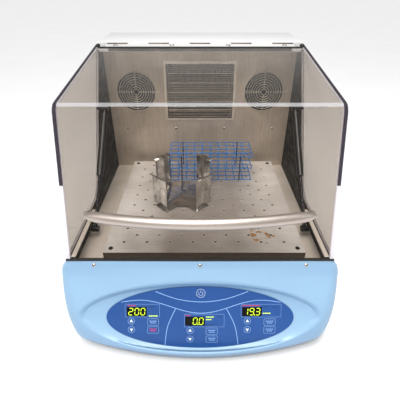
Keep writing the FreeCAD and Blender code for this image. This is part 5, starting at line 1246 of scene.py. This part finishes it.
# The flask clamp is bent from stainless sheet and polished, so that it mirrors the chamber in
# bright and dark patches. Its colour also carries bright and dark smears of painted reflection.

# The dark and bright smears of this colour are partly painted reflection.
clamp_steel = brushed_steel("stainless_mirror_clamp", "#FFFEFC", "#A29A92", streak_axis=2,
                            roughness=0.1, smear=25, metallic=0.95)
stand_in("flask_clamp", 0.5, "clamp_plate", "table", "clamp_stainless", clamp_steel)


# The tube rack is welded steel wire dipped in blue epoxy: three grids between upright rods.
# The coat is thick and glossy, uneven in its blue, and navy on the uprights.

RACK = Vector((32, 118.5, 220))
RACK_HALF = (124, 53)
RACK_TALL, TIERS, COLUMNS, ROWS = 80, 3, 10, 4
RACK_WIRE = 1.5
GRID_RADIUS, POST_RADIUS, POST_INSET = 1.275, 1.8, 37.5
rack = bmesh.new()
for tier in range(TIERS):
    z = RACK_WIRE + tier * (RACK_TALL - 2 * RACK_WIRE) / (TIERS - 1)
    for column in range(COLUMNS + 1):
        x = -RACK_HALF[0] + RACK_WIRE + column * 2 * (RACK_HALF[0] - RACK_WIRE) / COLUMNS
        rod(rack, (RACK + Vector((x, -RACK_HALF[1], z))) * MM,
            (RACK + Vector((x, RACK_HALF[1], z))) * MM, GRID_RADIUS * MM)
    for row in range(ROWS + 1):
        y = -RACK_HALF[1] + RACK_WIRE + row * 2 * (RACK_HALF[1] - RACK_WIRE) / ROWS
        rod(rack, (RACK + Vector((-RACK_HALF[0], y, z))) * MM,
            (RACK + Vector((RACK_HALF[0], y, z))) * MM, GRID_RADIUS * MM)
for x in (-RACK_HALF[0] + POST_INSET, RACK_HALF[0] - POST_INSET):
    for y in (-RACK_HALF[1] + RACK_WIRE, RACK_HALF[1] - RACK_WIRE):
        before = set(rack.faces)
        rod(rack, (RACK + Vector((x, y, 0))) * MM, (RACK + Vector((x, y, RACK_TALL))) * MM,
            POST_RADIUS * MM)
        for face in set(rack.faces) - before:
            face.material_index = 1
epoxy = new_material("epoxy_coat_blue", "#0F74C8", roughness=0.25, ior=1.5)
vary(epoxy, 14.29, 3.0, tones=("#0C66B6", "#1C88DE"))
rod_dark = new_material("epoxy_coat_navy", "#0E2A55", roughness=0.3, ior=1.5)
vary(rod_dark, 14.29, 3.0, tones=("#0B2146", "#143868"))
finish_piece(join_up(rack, "rack_wires"), "table", "rack_epoxy", epoxy, rod_dark,
             replaces=("tube_rack",), smooth=60)


# The mains inlet at the rear is a moulded socket in its own flange, with a rocker switch
# above it, both in black nylon.

inlet_nylon = powder_coat("nylon_moulded_black", "#19191A", roughness=0.4)
stand_in("power_inlet", 0.6, "inlet_socket", "cabinet", "inlet_plastic", inlet_nylon)
rocker_nylon = powder_coat("nylon_rocker_black", "#202022", roughness=0.35)
stand_in("power_rocker", 0.5, "rocker_cap", "rocker", "rocker_plastic", rocker_nylon)
